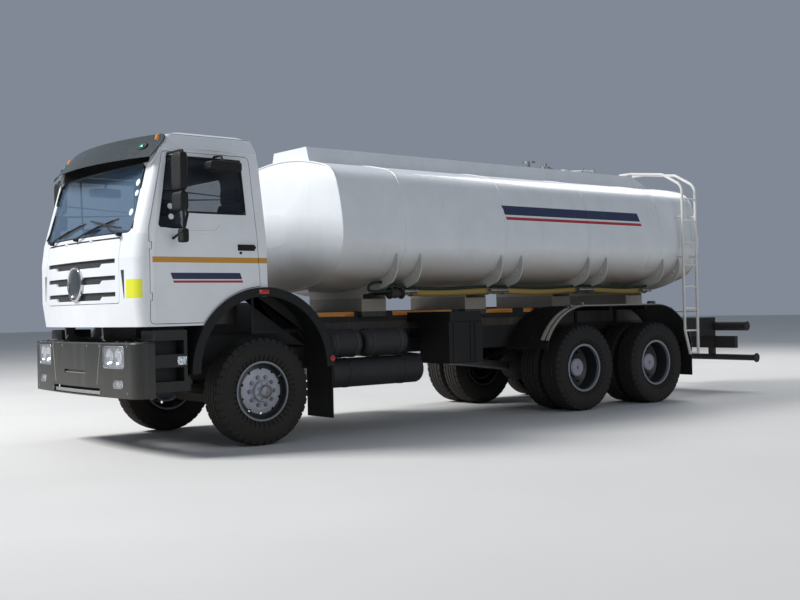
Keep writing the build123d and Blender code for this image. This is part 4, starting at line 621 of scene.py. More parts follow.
pattern_centre = (0.0, 0.0, tyre_radius)
pattern_tyre = turned("pattern_tyre", pattern_centre, (0, 1, 0), tyre_outline, tyre_steps)
cross_cuts(pattern_tyre, pattern_centre)
print("tyre faces", len(pattern_tyre.data.polygons))

# %% [markdown]
# The tyre is made once. Every wheel gets copies with their own mesh, moved to their hub. A twin wheel's two
# tyres turn as one, so they are joined.

# %% A tyre or a pair on every hub
front_wheel_y = 1.000
twin_ys = (1.085, 0.745)
for side, way in both_sides:
    tyre = copy_of(pattern_tyre, f"tread_front_{side}", (front_axle_x, way * front_wheel_y, 0))
    fit(tyre, "rubber", f"front_wheel_{side}")
    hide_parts(f"tyre_front_{side}")
    for number, axle_x in enumerate(rear_axle_xs, start=1):
        pair = [copy_of(pattern_tyre, "tread", (axle_x, way * y, 0)) for y in twin_ys]
        pair = join(f"tread_rear_{number}_{side}", pair)
        fit(pair, "rubber", f"rear_twins_{number}_{side}")
        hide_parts(f"tyres_rear_{number}_{side}")
bpy.data.objects.remove(pattern_tyre)

# %% [markdown]
# # Wheel nuts and hubs
# Ten nuts with washers hold each wheel. A six-sided rod with softened edges is the nut, and a wider, thinner
# rod the washer. Copies are turned about the hub. A ring of small screws and a domed cap close the hub.

# %% Nuts, screws and caps
nut_circle = 0.142
nut_count = 10
screw_circle = 0.081
screw_count = 8


def ring_of(pattern, hub, count, phase=0.0):
    """Copies of a piece turned about the hub's axle, joined."""
    copies = []
    for index in range(count):
        turn = Matrix.Translation(hub) @ Matrix.Rotation(2 * pi * (index + phase) / count, 4, "Y")
        twin = copy_of(pattern, pattern.name)
        twin.data.transform(turn @ Matrix.Translation(-Vector(hub)))
        copies.append(twin)
    bpy.data.objects.remove(pattern)
    return join(copies[0].name, copies)


def hub_fittings(name, hub, face_y, cap_y, way):
    """Nuts, screws and cap of one wheel; way is 1 on the left, -1 on the right."""
    x, z = hub[0], hub[2]

    def stud(kind, reach, low, high, radius, corners):
        """A rod that stands out of the wheel's face, from low to high above it."""
        return rod(kind, (x + reach, way * (face_y + low), z), (x + reach, way * (face_y + high), z),
                   radius, corners)

    nut = [stud("washer", nut_circle, 0.0, 0.004, 0.0225, 20),
           soften(stud("nut", nut_circle, 0.004, 0.021, 0.0190, 6), 0.0015, 2),
           stud("stud", nut_circle, 0.020, 0.034, 0.0095, 12)]
    nuts = ring_of(join("nuts", nut), hub, nut_count)
    screws = ring_of(stud("screw", screw_circle, 0.046, 0.060, 0.0080, 6), hub, screw_count, 0.5)
    cap = turned("cap", (x, way * (cap_y - 0.012), z), (0, way, 0),
                 ((0.0, 0.0655), (0.006, 0.0660), (0.012, 0.0630), (0.020, 0.0520), (0.026, 0.0340),
                  (0.028, 0.0160), (0.034, 0.0150), (0.036, 0.0001)), 32)
    valve_line = ((0.170, -0.02, 0.120), (0.185, 0.01, 0.130), (0.215, 0.02, 0.155))
    valve = tube("valve", [(x - back, way * (face_y + out), z + rise) for back, out, rise in valve_line],
                 0.0045)
    return join(name, [nuts, screws, cap, valve])


for side, way in both_sides:
    hub = (front_axle_x, 0, tyre_radius)
    fit(hub_fittings(f"hub_front_{side}", hub, 1.092, 1.184, way), "steel", f"front_wheel_{side}")
    for number, axle_x in enumerate(rear_axle_xs, start=1):
        hub = (axle_x, 0, tyre_radius)
        fittings = hub_fittings(f"hub_rear_{number}_{side}", hub, 0.927, 1.077, way)
        fit(fittings, "steel", f"rear_twins_{number}_{side}")
print("nuts on", 2 + 2 * len(rear_axle_xs), "hubs")


# %% [markdown]
# # Cab details
# The cab's side is not flat, so a piece that lies on it has to follow it. A ray shot at the finished cab
# finds the surface: skin_y gives the Y of the left flank at a station and a height, and skin_x the X of the
# nose. Strips, handles and lamps are then placed by these, and never sink in or float.

# %% Feel for the cab's skin
def touch(piece_names, start, way):
    """Where a ray from start first meets one of these pieces. A ray that slips through an edge is nudged."""
    best = None
    for nudge in (0.0, 0.0006):
        for name in piece_names:
            shifted = Vector(start) + Vector((nudge, nudge, nudge))
            hit, place, normal, index = nodes[name].ray_cast(shifted, Vector(way))
            if hit and (best is None or (place - shifted).length < (best - shifted).length):
                best = place
        if best is not None:
            break
    return best


cab_flank = ("cab_shell", "door_left", "door_glass_left")
cab_nose = ("cab_shell", "front_flap", "windscreen")


def skin_y(x, z):
    """Y of the cab's left flank."""
    place = touch(cab_flank, (x, 3, z), (0, -1, 0))
    return place.y if place else 1.22


def skin_x(y, z):
    """X of the cab's nose."""
    place = touch(cab_nose, (8, y, z), (-1, 0, 0))
    return place.x if place else ahead(1.40)


def flank_strip(name, line, radius, lift=0.0, sides=2):
    """A thin moulding along (step ahead of the front axle, height) points on the left flank."""
    points = [(ahead(step), skin_y(ahead(step), z) + lift, z) for step, z in line]
    return tube(name, points, radius, sides, smooth=False)


def divided(line, pieces=6):
    """The same corner points with more between them, so that a strip can follow a curved skin."""
    out = [line[0]]
    for (x0, z0), (x1, z1) in zip(line, line[1:]):
        out += [(x0 + (x1 - x0) * i / pieces, z0 + (z1 - z0) * i / pieces) for i in range(1, pieces + 1)]
    return out


# %% [markdown]
# Black rubber runs round the door window, a drip rail over the door, and a raised line is pressed into the
# door above its handle. Each is a thin tube along corner points on the skin.

# %% Seals, drip rail and pressed line
window_line = ((1.150, 2.118), (0.875, 2.118), (0.830, 2.268), (0.215, 2.268), (0.245, 2.790), (1.020, 2.790),
               (1.150, 2.118))


def window_strip(name, line, lift):
    """A seal in the door's window. A ray could slip through the opening, so the flank's lean gives its Y."""
    points = []
    for step, z in divided(line, 6):
        y = 1.219 - 0.0785 * (z - 2.05) - 0.2 * max(0.0, step - 0.90) ** 2
        points.append((ahead(step), y + lift, z))
    return tube(name, points, 0.011, 2, smooth=False)


window_seal = window_strip("window_seal_left", window_line, -0.004)
quarter_post = window_strip("quarter_post_left", ((0.845, 2.262), (0.880, 2.79)), -0.002)
window_seal = join("window_seal_left", [window_seal, quarter_post])
fit_both(window_seal, "window_seal_right", "black_plastic", doors)

drip_line = ((0.060, 2.868), (0.600, 2.880), (1.075, 2.868), (1.150, 2.700))
drip_rail = flank_strip("drip_rail_left", divided(drip_line, 5), 0.010, 0.002)
fit_both(drip_rail, "drip_rail_right", "cab_white", ("cab", "cab"))

pressed_line = ((1.050, 2.020), (0.990, 2.085), (0.560, 2.095), (0.500, 2.150))
pressed = flank_strip("door_crease_left", divided(pressed_line, 5), 0.008, -0.003)
fit_both(pressed, "door_crease_right", "cab_white", doors)

# %% [markdown]
# The handle is a bar on two small feet that stands off a shallow dark cup. The bar and the cup are boxes with
# softened edges. A small round lock sits below them.

# %% Door handle and lock
def door_handle():
    """Cup, bar and lock of the left door, joined."""
    x, z = ahead(0.23), 1.945
    y = skin_y(x, z)
    cup = block("cup", (x - 0.105, y - 0.006, z - 0.030), (x + 0.085, y + 0.004, z + 0.030))
    soften(cup, 0.004, 2)
    bar = block("bar", (x - 0.100, y + 0.018, z - 0.012), (x + 0.080, y + 0.034, z + 0.016))
    soften(bar, 0.006, 3)
    feet = [block("foot", (x + step - 0.012, y, z - 0.010), (x + step + 0.012, y + 0.022, z + 0.012))
            for step in (-0.088, 0.068)]
    lock = rod("lock", (x + 0.055, y - 0.002, z - 0.052), (x + 0.055, y + 0.007, z - 0.052), 0.013, 20)
    return join("door_handle_left", [cup, bar, lock] + feet)


fit_both(door_handle(), "door_handle_right", "black_plastic", doors)

# %% [markdown]
# A red reflector sits on top of each wheel arch. Lenses get their glitter from the edges of small cells, and
# the same recipe without cells colours the amber and green ones.

# %% Lens finishes and arch reflectors
red_lens = Graph("red_lens", roughness=0.12, coat_weight=0.8)
cells = red_lens.node("ShaderNodeTexVoronoi", {"feature": "DISTANCE_TO_EDGE"},
                      {"Vector": red_lens.place, "Scale": 160.0}, "Distance")
red_lens.feed(base_color=red_lens.blend(cells.ramp(0.0, 0.2), (0.25, 0.004, 0.004), (0.55, 0.012, 0.010)))
red_lens.relief(cells, 0.0008)
finishes["red_lens"] = red_lens.material
for name, scale, roughness, dull, bright in (
        ("amber_lens", 60.0, 0.12, (0.60, 0.20, 0.01), (0.80, 0.32, 0.03)),
        ("green_lens", 80.0, 0.10, (0.01, 0.30, 0.18), (0.03, 0.55, 0.36))):
    lens_graph = Graph(name, roughness=roughness, coat_weight=0.8)
    lens_graph.feed(base_color=lens_graph.blend(lens_graph.noise(scale), dull, bright))
    finishes[name] = lens_graph.material
finishes["paper_white"] = paint("paper_white", (0.80, 0.84, 0.88), 0.5, 0.0, 1.0, 0.0, 0.02)


def arch_reflector(name, step, z, length, height):
    """A softened plate on the left wheel arch's black trim."""
    trim = touch(("cab_arches",), (ahead(step), 3, z), (0, -1, 0))
    half = Vector((length / 2, 0.006, height / 2))
    return soften(block(name, trim - half, trim + half), 0.003, 2)


reflector = arch_reflector("arch_reflector_left", 0.045, 1.516, 0.115, 0.042)
fit_both(reflector, "arch_reflector_right", "red_lens", ("cab", "cab"))

# %% [markdown]
# The mirror heads are soft-cornered shells. A box is cut into nine faces a side and subdivided, which rounds
# its corners far more than a bevel could and leaves its flats slightly crowned. The glass is a thin bright
# plate on the rear face, and bent tubes carry the heads.

# %% Mirrors
mirror_heads = (((1.015, 1.395, 2.620), (0.088, 0.190, 0.350)),
                ((1.015, 1.395, 2.345), (0.090, 0.190, 0.172)),
                ((0.980, 1.380, 2.035), (0.066, 0.116, 0.128)),
                ((0.520, 1.330, 2.700), (0.345, 0.160, 0.100)))
mirror_arms = (((1.010, 1.150, 2.811), (1.010, 1.400, 2.811), (1.010, 1.450, 2.811), (1.010, 1.450, 2.760),
                (1.010, 1.450, 2.130), (1.010, 1.450, 2.080), (1.006, 1.400, 2.066), (1.000, 1.190, 2.010)),
               ((0.520, 1.150, 2.811), (0.520, 1.260, 2.811), (0.520, 1.300, 2.805), (0.520, 1.330, 2.730)))


def mirror_head(place, size):
    """A rounded shell about a place."""
    middle, half = Vector(place), Vector(size) / 2
    middle.x = ahead(middle.x)
    head = block("mirror_shell", middle - half, middle + half)
    edit(head, "SELECT")
    bpy.ops.mesh.subdivide(number_cuts=2)
    bpy.ops.object.mode_set(mode="OBJECT")
    return harden(modify(head, "SUBSURF", levels=3, render_levels=3), 60)


def mirror_glass(place, size):
    """The glass on a head's rear face."""
    x, y, z = place
    back = ahead(x) - size[0] / 2
    half_width, half_height = size[1] * 0.37, size[2] * 0.41
    glass_plate = block("mirror_glass", (back - 0.001, y - half_width, z - half_height),
                        (back + 0.006, y + half_width, z + half_height))
    return soften(glass_plate, 0.002, 2)


shells = [mirror_head(*head) for head in mirror_heads]
for line in mirror_arms:
    shells.append(tube("mirror_shell", [(ahead(x), y, z) for x, y, z in line], 0.012, 3))
shells = join("mirror_shells_left", shells)
plates = join("mirror_glass_left", [mirror_glass(*head) for head in mirror_heads[:2]])
shells_right, plates_right = to_right(shells, "mirror_shells_right"), to_right(plates, "mirror_glass_right")
for side, shell, plate in (("left", shells, plates), ("right", shells_right, plates_right)):
    fit(shell, "black_plastic", f"door_{side}")
    fit(plate, "chrome", f"door_{side}")
    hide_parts(f"mirrors_{side}")

# %% [markdown]
# # The cab's face
# The windscreen sits in black rubber. The seal's corner points are read off the opening's size, more points
# are put between them, and each is laid on the bowed nose by a ray.

# %% Windscreen seal
def nose_points(line, lift):
    """Places on the nose for (Y, height) points, lifted off the skin."""
    return [(skin_x(y, z) + lift, y, z) for y, z in line]


screen_line = ((-0.960, 2.080), (0.960, 2.080), (1.024, 2.125), (0.990, 2.690), (0.925, 2.737),
               (-0.925, 2.737),
               (-0.990, 2.690), (-1.024, 2.125), (-0.960, 2.080))
screen_seal = tube("screen_seal", nose_points(divided(screen_line, 9), 0.002), 0.014, 2, smooth=False)
fit(screen_seal, "black_plastic", "cab")

# %% [markdown]
# Each wiper is an arm from a round pivot under the glass and a blade that lies on it. The blade is a thin
# rubber strip under a slim bridge, both bent to the glass because their points are laid on it. The pivots sit
# just high enough for the raised grille flap to pass under them.

# %% Wipers
pivot_z = 2.066


def wiper(name, pivot_y, tip_y, tip_z):
    """One wiper with its pivot, arm and blade."""
    pivot = (pivot_y, pivot_z)
    way = 1 if tip_y > pivot_y else -1
    middle = ((pivot_y + tip_y) / 2 + 0.10 * way, (pivot_z + tip_z) / 2 + 0.038)
    pivot_place = Vector((skin_x(*pivot), *pivot))
    boss_ends = (pivot_place - Vector((0.010, 0, 0)), pivot_place + Vector((0.045, 0, 0.004)))
    boss = soften(rod(name, *boss_ends, 0.020, 20, 0.016), 0.004, 2)
    elbow = (pivot_y + way * 0.10, 2.10)
    arm = tube(name, [pivot_place + Vector((0.035, 0, 0)), (skin_x(*elbow) + 0.050, *elbow),
                      (skin_x(*middle) + 0.030, *middle)], 0.008)
    blade_ends = [(middle[0] + way * share * 0.33, middle[1] + share * 0.055) for share in (-1, 1)]
    blade_line = divided(blade_ends, 8)
    blade = tube(name, nose_points(blade_line, 0.008), 0.006, 1)
    bridge = tube(name, nose_points(blade_line[1:-1], 0.022), 0.007, 1)
    return join(name, [boss, arm, blade, bridge])


wiper_places = ((-0.72, -0.05, 2.20), (-0.02, 0.62, 2.20), (0.86, 0.30, 2.24))
for number, (pivot_y, tip_y, tip_z) in enumerate(wiper_places, start=1):
    fit(wiper(f"wiper_{number}", pivot_y, tip_y, tip_z), "black_plastic", "cab")
print("wipers", len(wiper_places))

# %% [markdown]
# Behind the three grille slots lies a dark mesh. A grid turned to face forward takes its depth, point by
# point, from the skin just above and just below the slot, so it bows with the nose. It then gets a thin
# body. A fine square pattern in its bump makes it a mesh.

# %% Grille mesh behind the slots
mesh_graph = Graph("grille_black", roughness=0.7)
mesh_y, mesh_z = mesh_graph.place.parts()[1:]
wave = (mesh_y * 900.0).sum("SINE", mesh_y * 900.0) * (mesh_z * 900.0).sum("SINE", mesh_z * 900.0)
mesh_graph.feed(base_color=mesh_graph.blend(wave.ramp(-0.2, 0.6), (0.010, 0.011, 0.012),
                                            (0.055, 0.058, 0.062)))
mesh_graph.relief(wave, 0.002)
finishes["grille_black"] = mesh_graph.material


slot_tops = (1.848, 1.690, 1.535)
slot_height = 0.074
mesh_half = 0.800
mesh_depth = 0.018


def sheet_behind(name, top, cuts=32):
    """A grid facing forward that stands behind one slot of the nose."""
    clear_selection()
    bpy.ops.mesh.primitive_grid_add(x_subdivisions=2, y_subdivisions=cuts, size=1,
                                    location=(ahead(1.3), 0, top - slot_height / 2), rotation=(0, pi / 2, 0))
    bpy.context.object.scale = (slot_height + 0.030, 2 * mesh_half, 1)
    sheet = settle(name)
    for vertex in sheet.data.vertices:
        above = skin_x(vertex.co.y, top + 0.020)
        below = skin_x(vertex.co.y, top - slot_height - 0.020)
        share = (vertex.co.z - top + slot_height) / slot_height
        vertex.co.x = below + (above - below) * share - mesh_depth
    return sheet


meshes = [modify(sheet_behind("grille_mesh", top), "SOLIDIFY", thickness=0.0015, offset=-1)
          for top in slot_tops]
fit(join("grille_mesh", meshes), "grille_black", "front_flap")

# %% [markdown]
# A plain turned boss in a bright ring stands where such a nose carries its badge. Upright slits at the
# corners let air out beside the grille.

# %% Plain boss and corner slits
boss_place = (skin_x(0.0, 1.63), 0.0, 1.63)
ring_outline = ((-0.030, 0.150), (-0.030, 0.172), (0.003, 0.172), (0.009, 0.167), (0.011, 0.160),
                (0.008, 0.152), (0.0, 0.149), (-0.030, 0.150))
ring = turned("nose_ring", boss_place, (1, 0, 0), ring_outline, 64)
fit(ring, "chrome", "front_flap")
finishes["boss_dark"] = paint("boss_dark", (0.030, 0.034, 0.042), 0.28, 0.6, 1.0, 0.0, 0.05)
dish_outline = ((-0.030, 0.0001), (-0.030, 0.1495), (-0.006, 0.1495), (0.001, 0.120), (0.005, 0.060),
                (0.006, 0.0001))
dish = turned("nose_boss", boss_place, (1, 0, 0), dish_outline, 64)
fit(dish, "boss_dark", "front_flap")


def corner_slit(name, way, cuts=14):
    """A dark upright slit on the nose's rounded corner, wide above and drawn to a point below."""
    clear_selection()
    bpy.ops.mesh.primitive_grid_add(x_subdivisions=4, y_subdivisions=cuts, size=1)
    slit = settle(name)
    for vertex in slit.data.vertices:
        along, up = vertex.co.x + 0.5, vertex.co.y + 0.5
        z = 1.470 + 0.265 * up
        y = way * (0.955 - along * (0.004 + 0.046 * up))
        vertex.co = (skin_x(y, z) + 0.0005, y, z)
    edit(slit, "SELECT")
    bpy.ops.mesh.normals_make_consistent(inside=False)
    bpy.ops.object.mode_set(mode="OBJECT")
    return modify(slit, "SOLIDIFY", thickness=0.003, offset=0)


for side, way in both_sides:
    fit(corner_slit(f"corner_slit_{side}", way), "grille_black", "cab")

# %% [markdown]
# # Sun visor and window discs
# A green lamp sits in an oval hollow near each end of the smoked visor, and an amber dome stands on its top.
# The hollow is a turned dish, stretched along Y in edit mode and turned to the visor's own slope.

# %% Visor lamps
visor_slope = Vector((0.74, 0.20, 0.64)).normalized()


def stretched(piece, centre, share):
    """Stretch a piece along Y about a centre, in edit mode."""
    edit(piece, "SELECT")
    bpy.ops.transform.resize(value=(1, share, 1), center_override=centre)
    bpy.ops.object.mode_set(mode="OBJECT")
    return piece


lamp_spot = touch(("sun_visor",), (8, 0.925, 2.898), (-1, 0, 0))
for side, way in both_sides:
    spot = Vector((lamp_spot.x, way * lamp_spot.y, lamp_spot.z))
    slope = Vector((visor_slope.x, way * visor_slope.y, visor_slope.z))
    hollow = turned(f"lamp_hollow_{side}", spot, slope, ((-0.002, 0.0001), (-0.002, 0.030), (0.003, 0.043),
                                                       (0.005, 0.046), (0.003, 0.049), (-0.004, 0.050)), 40)
    fit(stretched(hollow, spot, 1.75), "black_plastic", "cab")
    lens = turned(f"green_lamp_{side}", spot, slope,
                  ((-0.002, 0.020), (0.006, 0.019), (0.010, 0.013), (0.011, 0.0001)), 24)
    fit(stretched(lens, spot, 1.6), "green_lens", "cab")
    foot = touch(("sun_visor",), (8, way * 1.035, 2.965), (-1, 0, 0)) - Vector((0.018, 0, 0.012))
    dome = turned(f"amber_dome_{side}", foot, (0, 0, 1),
                  ((0.0, 0.030), (0.016, 0.030), (0.018, 0.027), (0.040, 0.023),
                                                        (0.050, 0.014), (0.053, 0.0001)), 28)
    fit(dome, "amber_lens", "cab")

# %% [markdown]
# Round pale discs are stuck inside the windscreen and the quarter window. They are left blank. Each is a
# very short rod turned to lie on the glass.

# %% Blank discs on the glass
def glass_disc(name, place, slope, radius, body):
    """A thin round disc that lies on a window."""
    place, slope = Vector(place), Vector(slope).normalized()
    disc = rod(name, place - slope * 0.0005, place + slope * 0.0012, radius, 28)
    return fit(soften(disc, 0.0004, 1), "paper_white", body)


screen_slope = (0.96, 0.08, 0.28)
screen_discs = ((0.905, 2.558, 0.034), (0.930, 2.456, 0.030), (0.914, 2.276, 0.034))
for number, (y, z, radius) in enumerate(screen_discs, start=1):
    glass_disc(f"screen_disc_{number}", (skin_x(y, z), y, z), screen_slope, radius, "cab")
for number, (step, z) in enumerate(((1.008, 2.320), (1.004, 2.222)), start=1):
    place = (ahead(step), skin_y(ahead(step), z), z)
    glass_disc(f"quarter_disc_{number}", place, (0, 1, 0.08), 0.027, "door_left")

# %% [markdown]
# # Bumper and lamps
# A headlamp is a clear cover over bright bowls. The cover is the lamp's own solid with a low alpha. Each bowl
# is a turned dish of plated metal that stands inside it, with a bulb in its middle.

# %% Headlamp bowls
def bowl(name, y, z, radius, depth):
    """A turned reflector that opens forward, just inside the lamp's cover."""
    front = touch(("front_lamps",), (8, y, z), (-1, 0, 0)).x - 0.006
    place = (front - depth, y, z)
    outline = ((0.0, 0.010), (0.002, radius * 0.35), (depth * 0.35, radius * 0.72), (depth * 0.95, radius),
               (depth, radius + 0.004), (depth - 0.003, radius + 0.004),
               (depth * 0.30, radius * 0.72 + 0.003),
               (-0.002, radius * 0.35), (-0.003, 0.0001))
    dish = turned(name, place, (1, 0, 0), outline, 36)
    bulb = rod(name, (front - depth, y, z), (front - depth * 0.35, y, z), 0.009, 16, 0.007)
    return join(name, [dish, harden(bulb)])


lamp_bowls = ((0.745, 0.925, 0.074), (0.905, 0.925, 0.074), (0.905, 0.675, 0.030))
for side, way in both_sides:
    bowls = [bowl("lamp_bowls", way * y, z, radius, 0.045) for y, z, radius in lamp_bowls]
    fit(join(f"lamp_bowls_{side}", bowls), "chrome")

# %% [markdown]
# A pale rim frames each headlamp, and round screws hold the bumper's sheets. Both follow the bowed bumper by
# rays, as on the cab.

# %% Lamp rims and bumper screws
bumper_skin = ("bumper", "front_lamps")


def bumper_points(line, lift):
    """Places on the bumper's skin for (Y, height) points, lifted off it."""
    return [(touch(bumper_skin, (8, y, z), (-1, 0, 0)).x + lift, y, z) for y, z in line]


def lamp_rim(name, low, high, radius, way):
    """A closed thin frame between two (Y, height) corners, cut across at its corners."""
    (y0, z0), (y1, z1) = low, high
    c = 0.022
    line = ((y0 + c, z0), (y1 - c, z0), (y1, z0 + c), (y1, z1 - c), (y1 - c, z1), (y0 + c, z1), (y0, z1 - c),
            (y0, z0 + c), (y0 + c, z0))
    return tube(name, bumper_points([(way * y, z) for y, z in divided(line, 4)], 0.001), radius, 2,
                smooth=False)


for side, way in both_sides:
    rims = [lamp_rim("rim", (0.637, 0.825), (1.023, 1.025), 0.006, way),
            lamp_rim("rim", (0.812, 0.640), (0.998, 0.710), 0.004, way)]
    fit(join(f"lamp_rims_{side}", rims), "steel")

screws = []
for y in (0.30, 0.565, 1.075):
    for z in (0.60, 1.030):
        for way in (1, -1):
            place = touch(("bumper",), (8, way * y, z), (-1, 0, 0))
            if place:
                screw = rod("bumper_screws", place - Vector((0.004, 0, 0)), place + Vector((0.003, 0, 0)),
                            0.011, 16)
                screws.append(soften(screw, 0.002, 2))
fit(join("bumper_screws", screws), "steel")

# %% [markdown]
# Each headlamp's cover is moulded with small facets that scatter the light. Behind it stands a sheet whose
# facets are the cells of a Voronoi pattern, each with its own slope and its own painted glint of brightness.

# %% Faceted sheet with painted glints behind the lamp covers
facets = Graph("lamp_facets_painted_glints", roughness=0.12, coat_weight=0.6, metallic=0.35)
cell_glint = facets.node("ShaderNodeTexVoronoi", {}, {"Vector": facets.place, "Scale": 42.0},
                        "Color").parts()[0]
# Painted glints: each cell gets its own brightness, from bluish dark to near white.
facets.feed(base_color=facets.blend(cell_glint, (0.22, 0.26, 0.34), (0.96, 0.98, 1.0)))
facets.relief(facets.node("ShaderNodeTexVoronoi", {}, {"Vector": facets.place, "Scale": 42.0}, "Distance"),
              0.010)
finishes["lamp_facets_painted_glints"] = facets.material
for side, way in both_sides:
    sheets = []
    for y, z, half_width, half_height in ((0.830, 0.925, 0.186, 0.094), (0.905, 0.675, 0.090, 0.032)):
        front = min(touch(("front_lamps",), (8, way * (y + share * half_width), z), (-1, 0, 0)).x
                    for share in (-1, 0, 1))
        sheet = block("lamp_facets_painted_glints", (front - 0.016, way * y - half_width, z - half_height),
                      (front - 0.012, way * y + half_width, z + half_height))
        sheets.append(soften(sheet, 0.0015, 2))
    fit(join(f"lamp_facets_painted_glints_{side}", sheets), "lamp_facets_painted_glints")

# %% [markdown]
# The bumper is pressed from a middle and two corner pieces. Dust collects in the joint between them and
# draws a thin pale line. The narrow recess in the middle has a pale lower lip. A step bar lies in the lower
# slot, in front of a dark sheet.

# %% Bumper joints, recess lip and step bar
for side, way in both_sides:
    joint_line = [(way * y, z) for y, z in divided(((0.500, 0.665), (0.585, 1.040)), 8)]
    joint = tube(f"bumper_joint_{side}", bumper_points(joint_line, -0.002), 0.004, 1, smooth=False)
    fit(joint, "pale_dust_and_highlight")
recess_x = touch(("bumper",), (8, 0.0, 0.775), (-1, 0, 0)).x
lip = block("recess_lip", (recess_x - 0.004, -0.246, 0.7575), (recess_x + 0.016, 0.246, 0.770))
fit(soften(lip, 0.003, 2), "aluminium")


def slot_points(z, depth, count=12):
    """Places behind the bumper's bowed lower slot, felt on the skin just above it."""
    ys = [-0.55 + 1.10 * index / count for index in range(count + 1)]
    return [(touch(("bumper",), (8, y, 0.645), (-1, 0, 0)).x - depth, y, z) for y in ys]


bars = [tube("step_bar", slot_points(z, 0.020), 0.0075, 2) for z in (0.572, 0.583, 0.594)]
fit(join("step_bar", bars), "aluminium")
slot_back = block("slot_back", (4.946, -0.57, 0.556), (4.954, 0.57, 0.640))
fit(soften(slot_back, 0.002, 1), "black_plastic")
deck_bolts = [rod("deck_bolts", (4.880, way * y, 1.060), (4.880, way * y, 1.072), 0.012, 6)
              for y in (0.66, 0.86, 1.06) for way in (1, -1)]
fit(join("deck_bolts", deck_bolts), "steel")

# %% [markdown]
# A small pale lamp is let into the outer face of each step box, between its two treads. Behind the wheel a
# dark wall of painted shade stands inside each mudguard, above the tyre's reach, and hides what lies behind
# the cab.

# %% Step lamps and walls of painted shade in the wheel housings
step_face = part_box("cab_steps")[1].y
wall_y = 0.860
wall_middle_z = 0.778
wall_radius = 0.745
wall_front_x = 3.530
wall_low_z = 1.100
for side, way in both_sides:
    ends = sorted((way * (step_face - 0.004), way * (step_face + 0.012)))
    lamp = block(f"step_lamp_{side}", (4.455, ends[0], 0.842), (4.550, ends[1], 0.926))
    fit(soften(lamp, 0.008, 3), "lamp_facets_painted_glints")
    start_y, end_y = sorted((way * wall_y, way * (wall_y + 0.006)))
    wall = rod(f"housing_shade_wall_{side}", (front_axle_x, start_y, wall_middle_z),
               (front_axle_x, end_y, wall_middle_z), wall_radius, 96)
    edit(wall)
    for plane_co, plane_no in (((wall_front_x, 0, 0), (1, 0, 0)), ((0, 0, wall_low_z), (0, 0, -1))):
        bpy.ops.mesh.select_all(action="SELECT")
        bpy.ops.mesh.bisect(plane_co=plane_co, plane_no=plane_no, use_fill=True, clear_outer=True)
    pick(wall, lambda middle, normal: abs(normal.y) > 0.9)
    bpy.ops.mesh.inset(thickness=0.03)
    bpy.ops.mesh.inset(thickness=0.006, depth=-0.002)
    bpy.ops.object.mode_set(mode="OBJECT")
    # The wall is painted shade: a dark sheet where the wheel housing lies open in shade.
    fit(harden(wall), "step_black_and_painted_shade")

# %% [markdown]
# # What hangs on the frame
# Steel straps hold each air tank to its bracket, with a threaded draw bolt. A strap is a short, wide ring: an
# outline of four points spun about the tank's line.

# %% Air tank and silencer straps
def strap(name, x, y, z, radius, width=0.035):
    """A band round a drum that lies along the truck."""
    outer = radius + 0.004
    outline = ((-width / 2, radius), (-width / 2, outer), (width / 2, outer), (width / 2, radius),
               (-width / 2, radius))
    band = turned(name, (x, y, z), (1, 0, 0), outline, 40)
    shoulder = Vector((x, y + radius * 0.72, z + radius * 0.72))
    lug = rod(name, shoulder, shoulder + Vector((0, 0.030, 0.030)), 0.008, 12)
    return join(name, [band, lug])


drum_y = 0.960
tank_straps = [strap("air_tank_straps", ahead(step), drum_y, 0.968, 0.150)
               for step in (-0.93, -1.20, -1.42, -1.80)]
fit(join("air_tank_straps", tank_straps), "iron")
silencer_straps = [strap("silencer_straps", ahead(step), drum_y, 0.655, 0.155, 0.045)
                   for step in (-1.11, -1.86)]
fit(join("silencer_straps", silencer_straps), "frame_grey")

# %% [markdown]
# Each air tank has a drain plug below and a hose union on its end, with a line that runs up to the rail in
# one smooth bend.

# %% Air lines
line_z = 0.990
line_radius = 0.009


def air_line(name, line):
    """A bent air line through (step ahead of the front axle, Y, height) places."""
    points = [(ahead(step), y, z) for step, y, z in line]
    return fit(tube(name, points, line_radius, 2), "black_plastic")


air_line("air_line_front", ((-0.86, drum_y, line_z), (-0.80, drum_y, line_z), (-0.77, 0.90, 1.08),
                            (-0.80, 0.70, 1.14), (-0.95, 0.50, 1.12), (-1.05, 0.44, 1.05)))
air_line("air_line_rear", ((-1.895, drum_y, line_z), (-1.95, drum_y, line_z), (-1.99, 0.88, 1.06),
                           (-2.00, 0.66, 1.10), (-2.04, 0.47, 1.04), (-2.10, 0.44, 0.98)))
unions = [rod("air_unions", (ahead(start), drum_y, line_z), (ahead(end), drum_y, line_z), 0.014, 6)
          for start, end in ((-0.855, -0.825), (-1.30, -1.315), (-1.90, -1.93))]
drains = [rod("air_unions", (ahead(step), drum_y, 0.800), (ahead(step), drum_y, 0.830), 0.010, 12)
          for step in (-1.06, -1.60)]
fit(join("air_unions", unions + drains), "steel")


# %% [markdown]
# # Mudguards
# The rolled outer edge of the rear mudguards is dusty, and the light it catches is a painted highlight. The
# edge is two narrow ribbons with a groove between them. Each ribbon is a grid whose rows are laid on the
# guard by rays from outside, then given a thin body.

# %% Rolled edge of the rear guards
guard_reach = 0.70


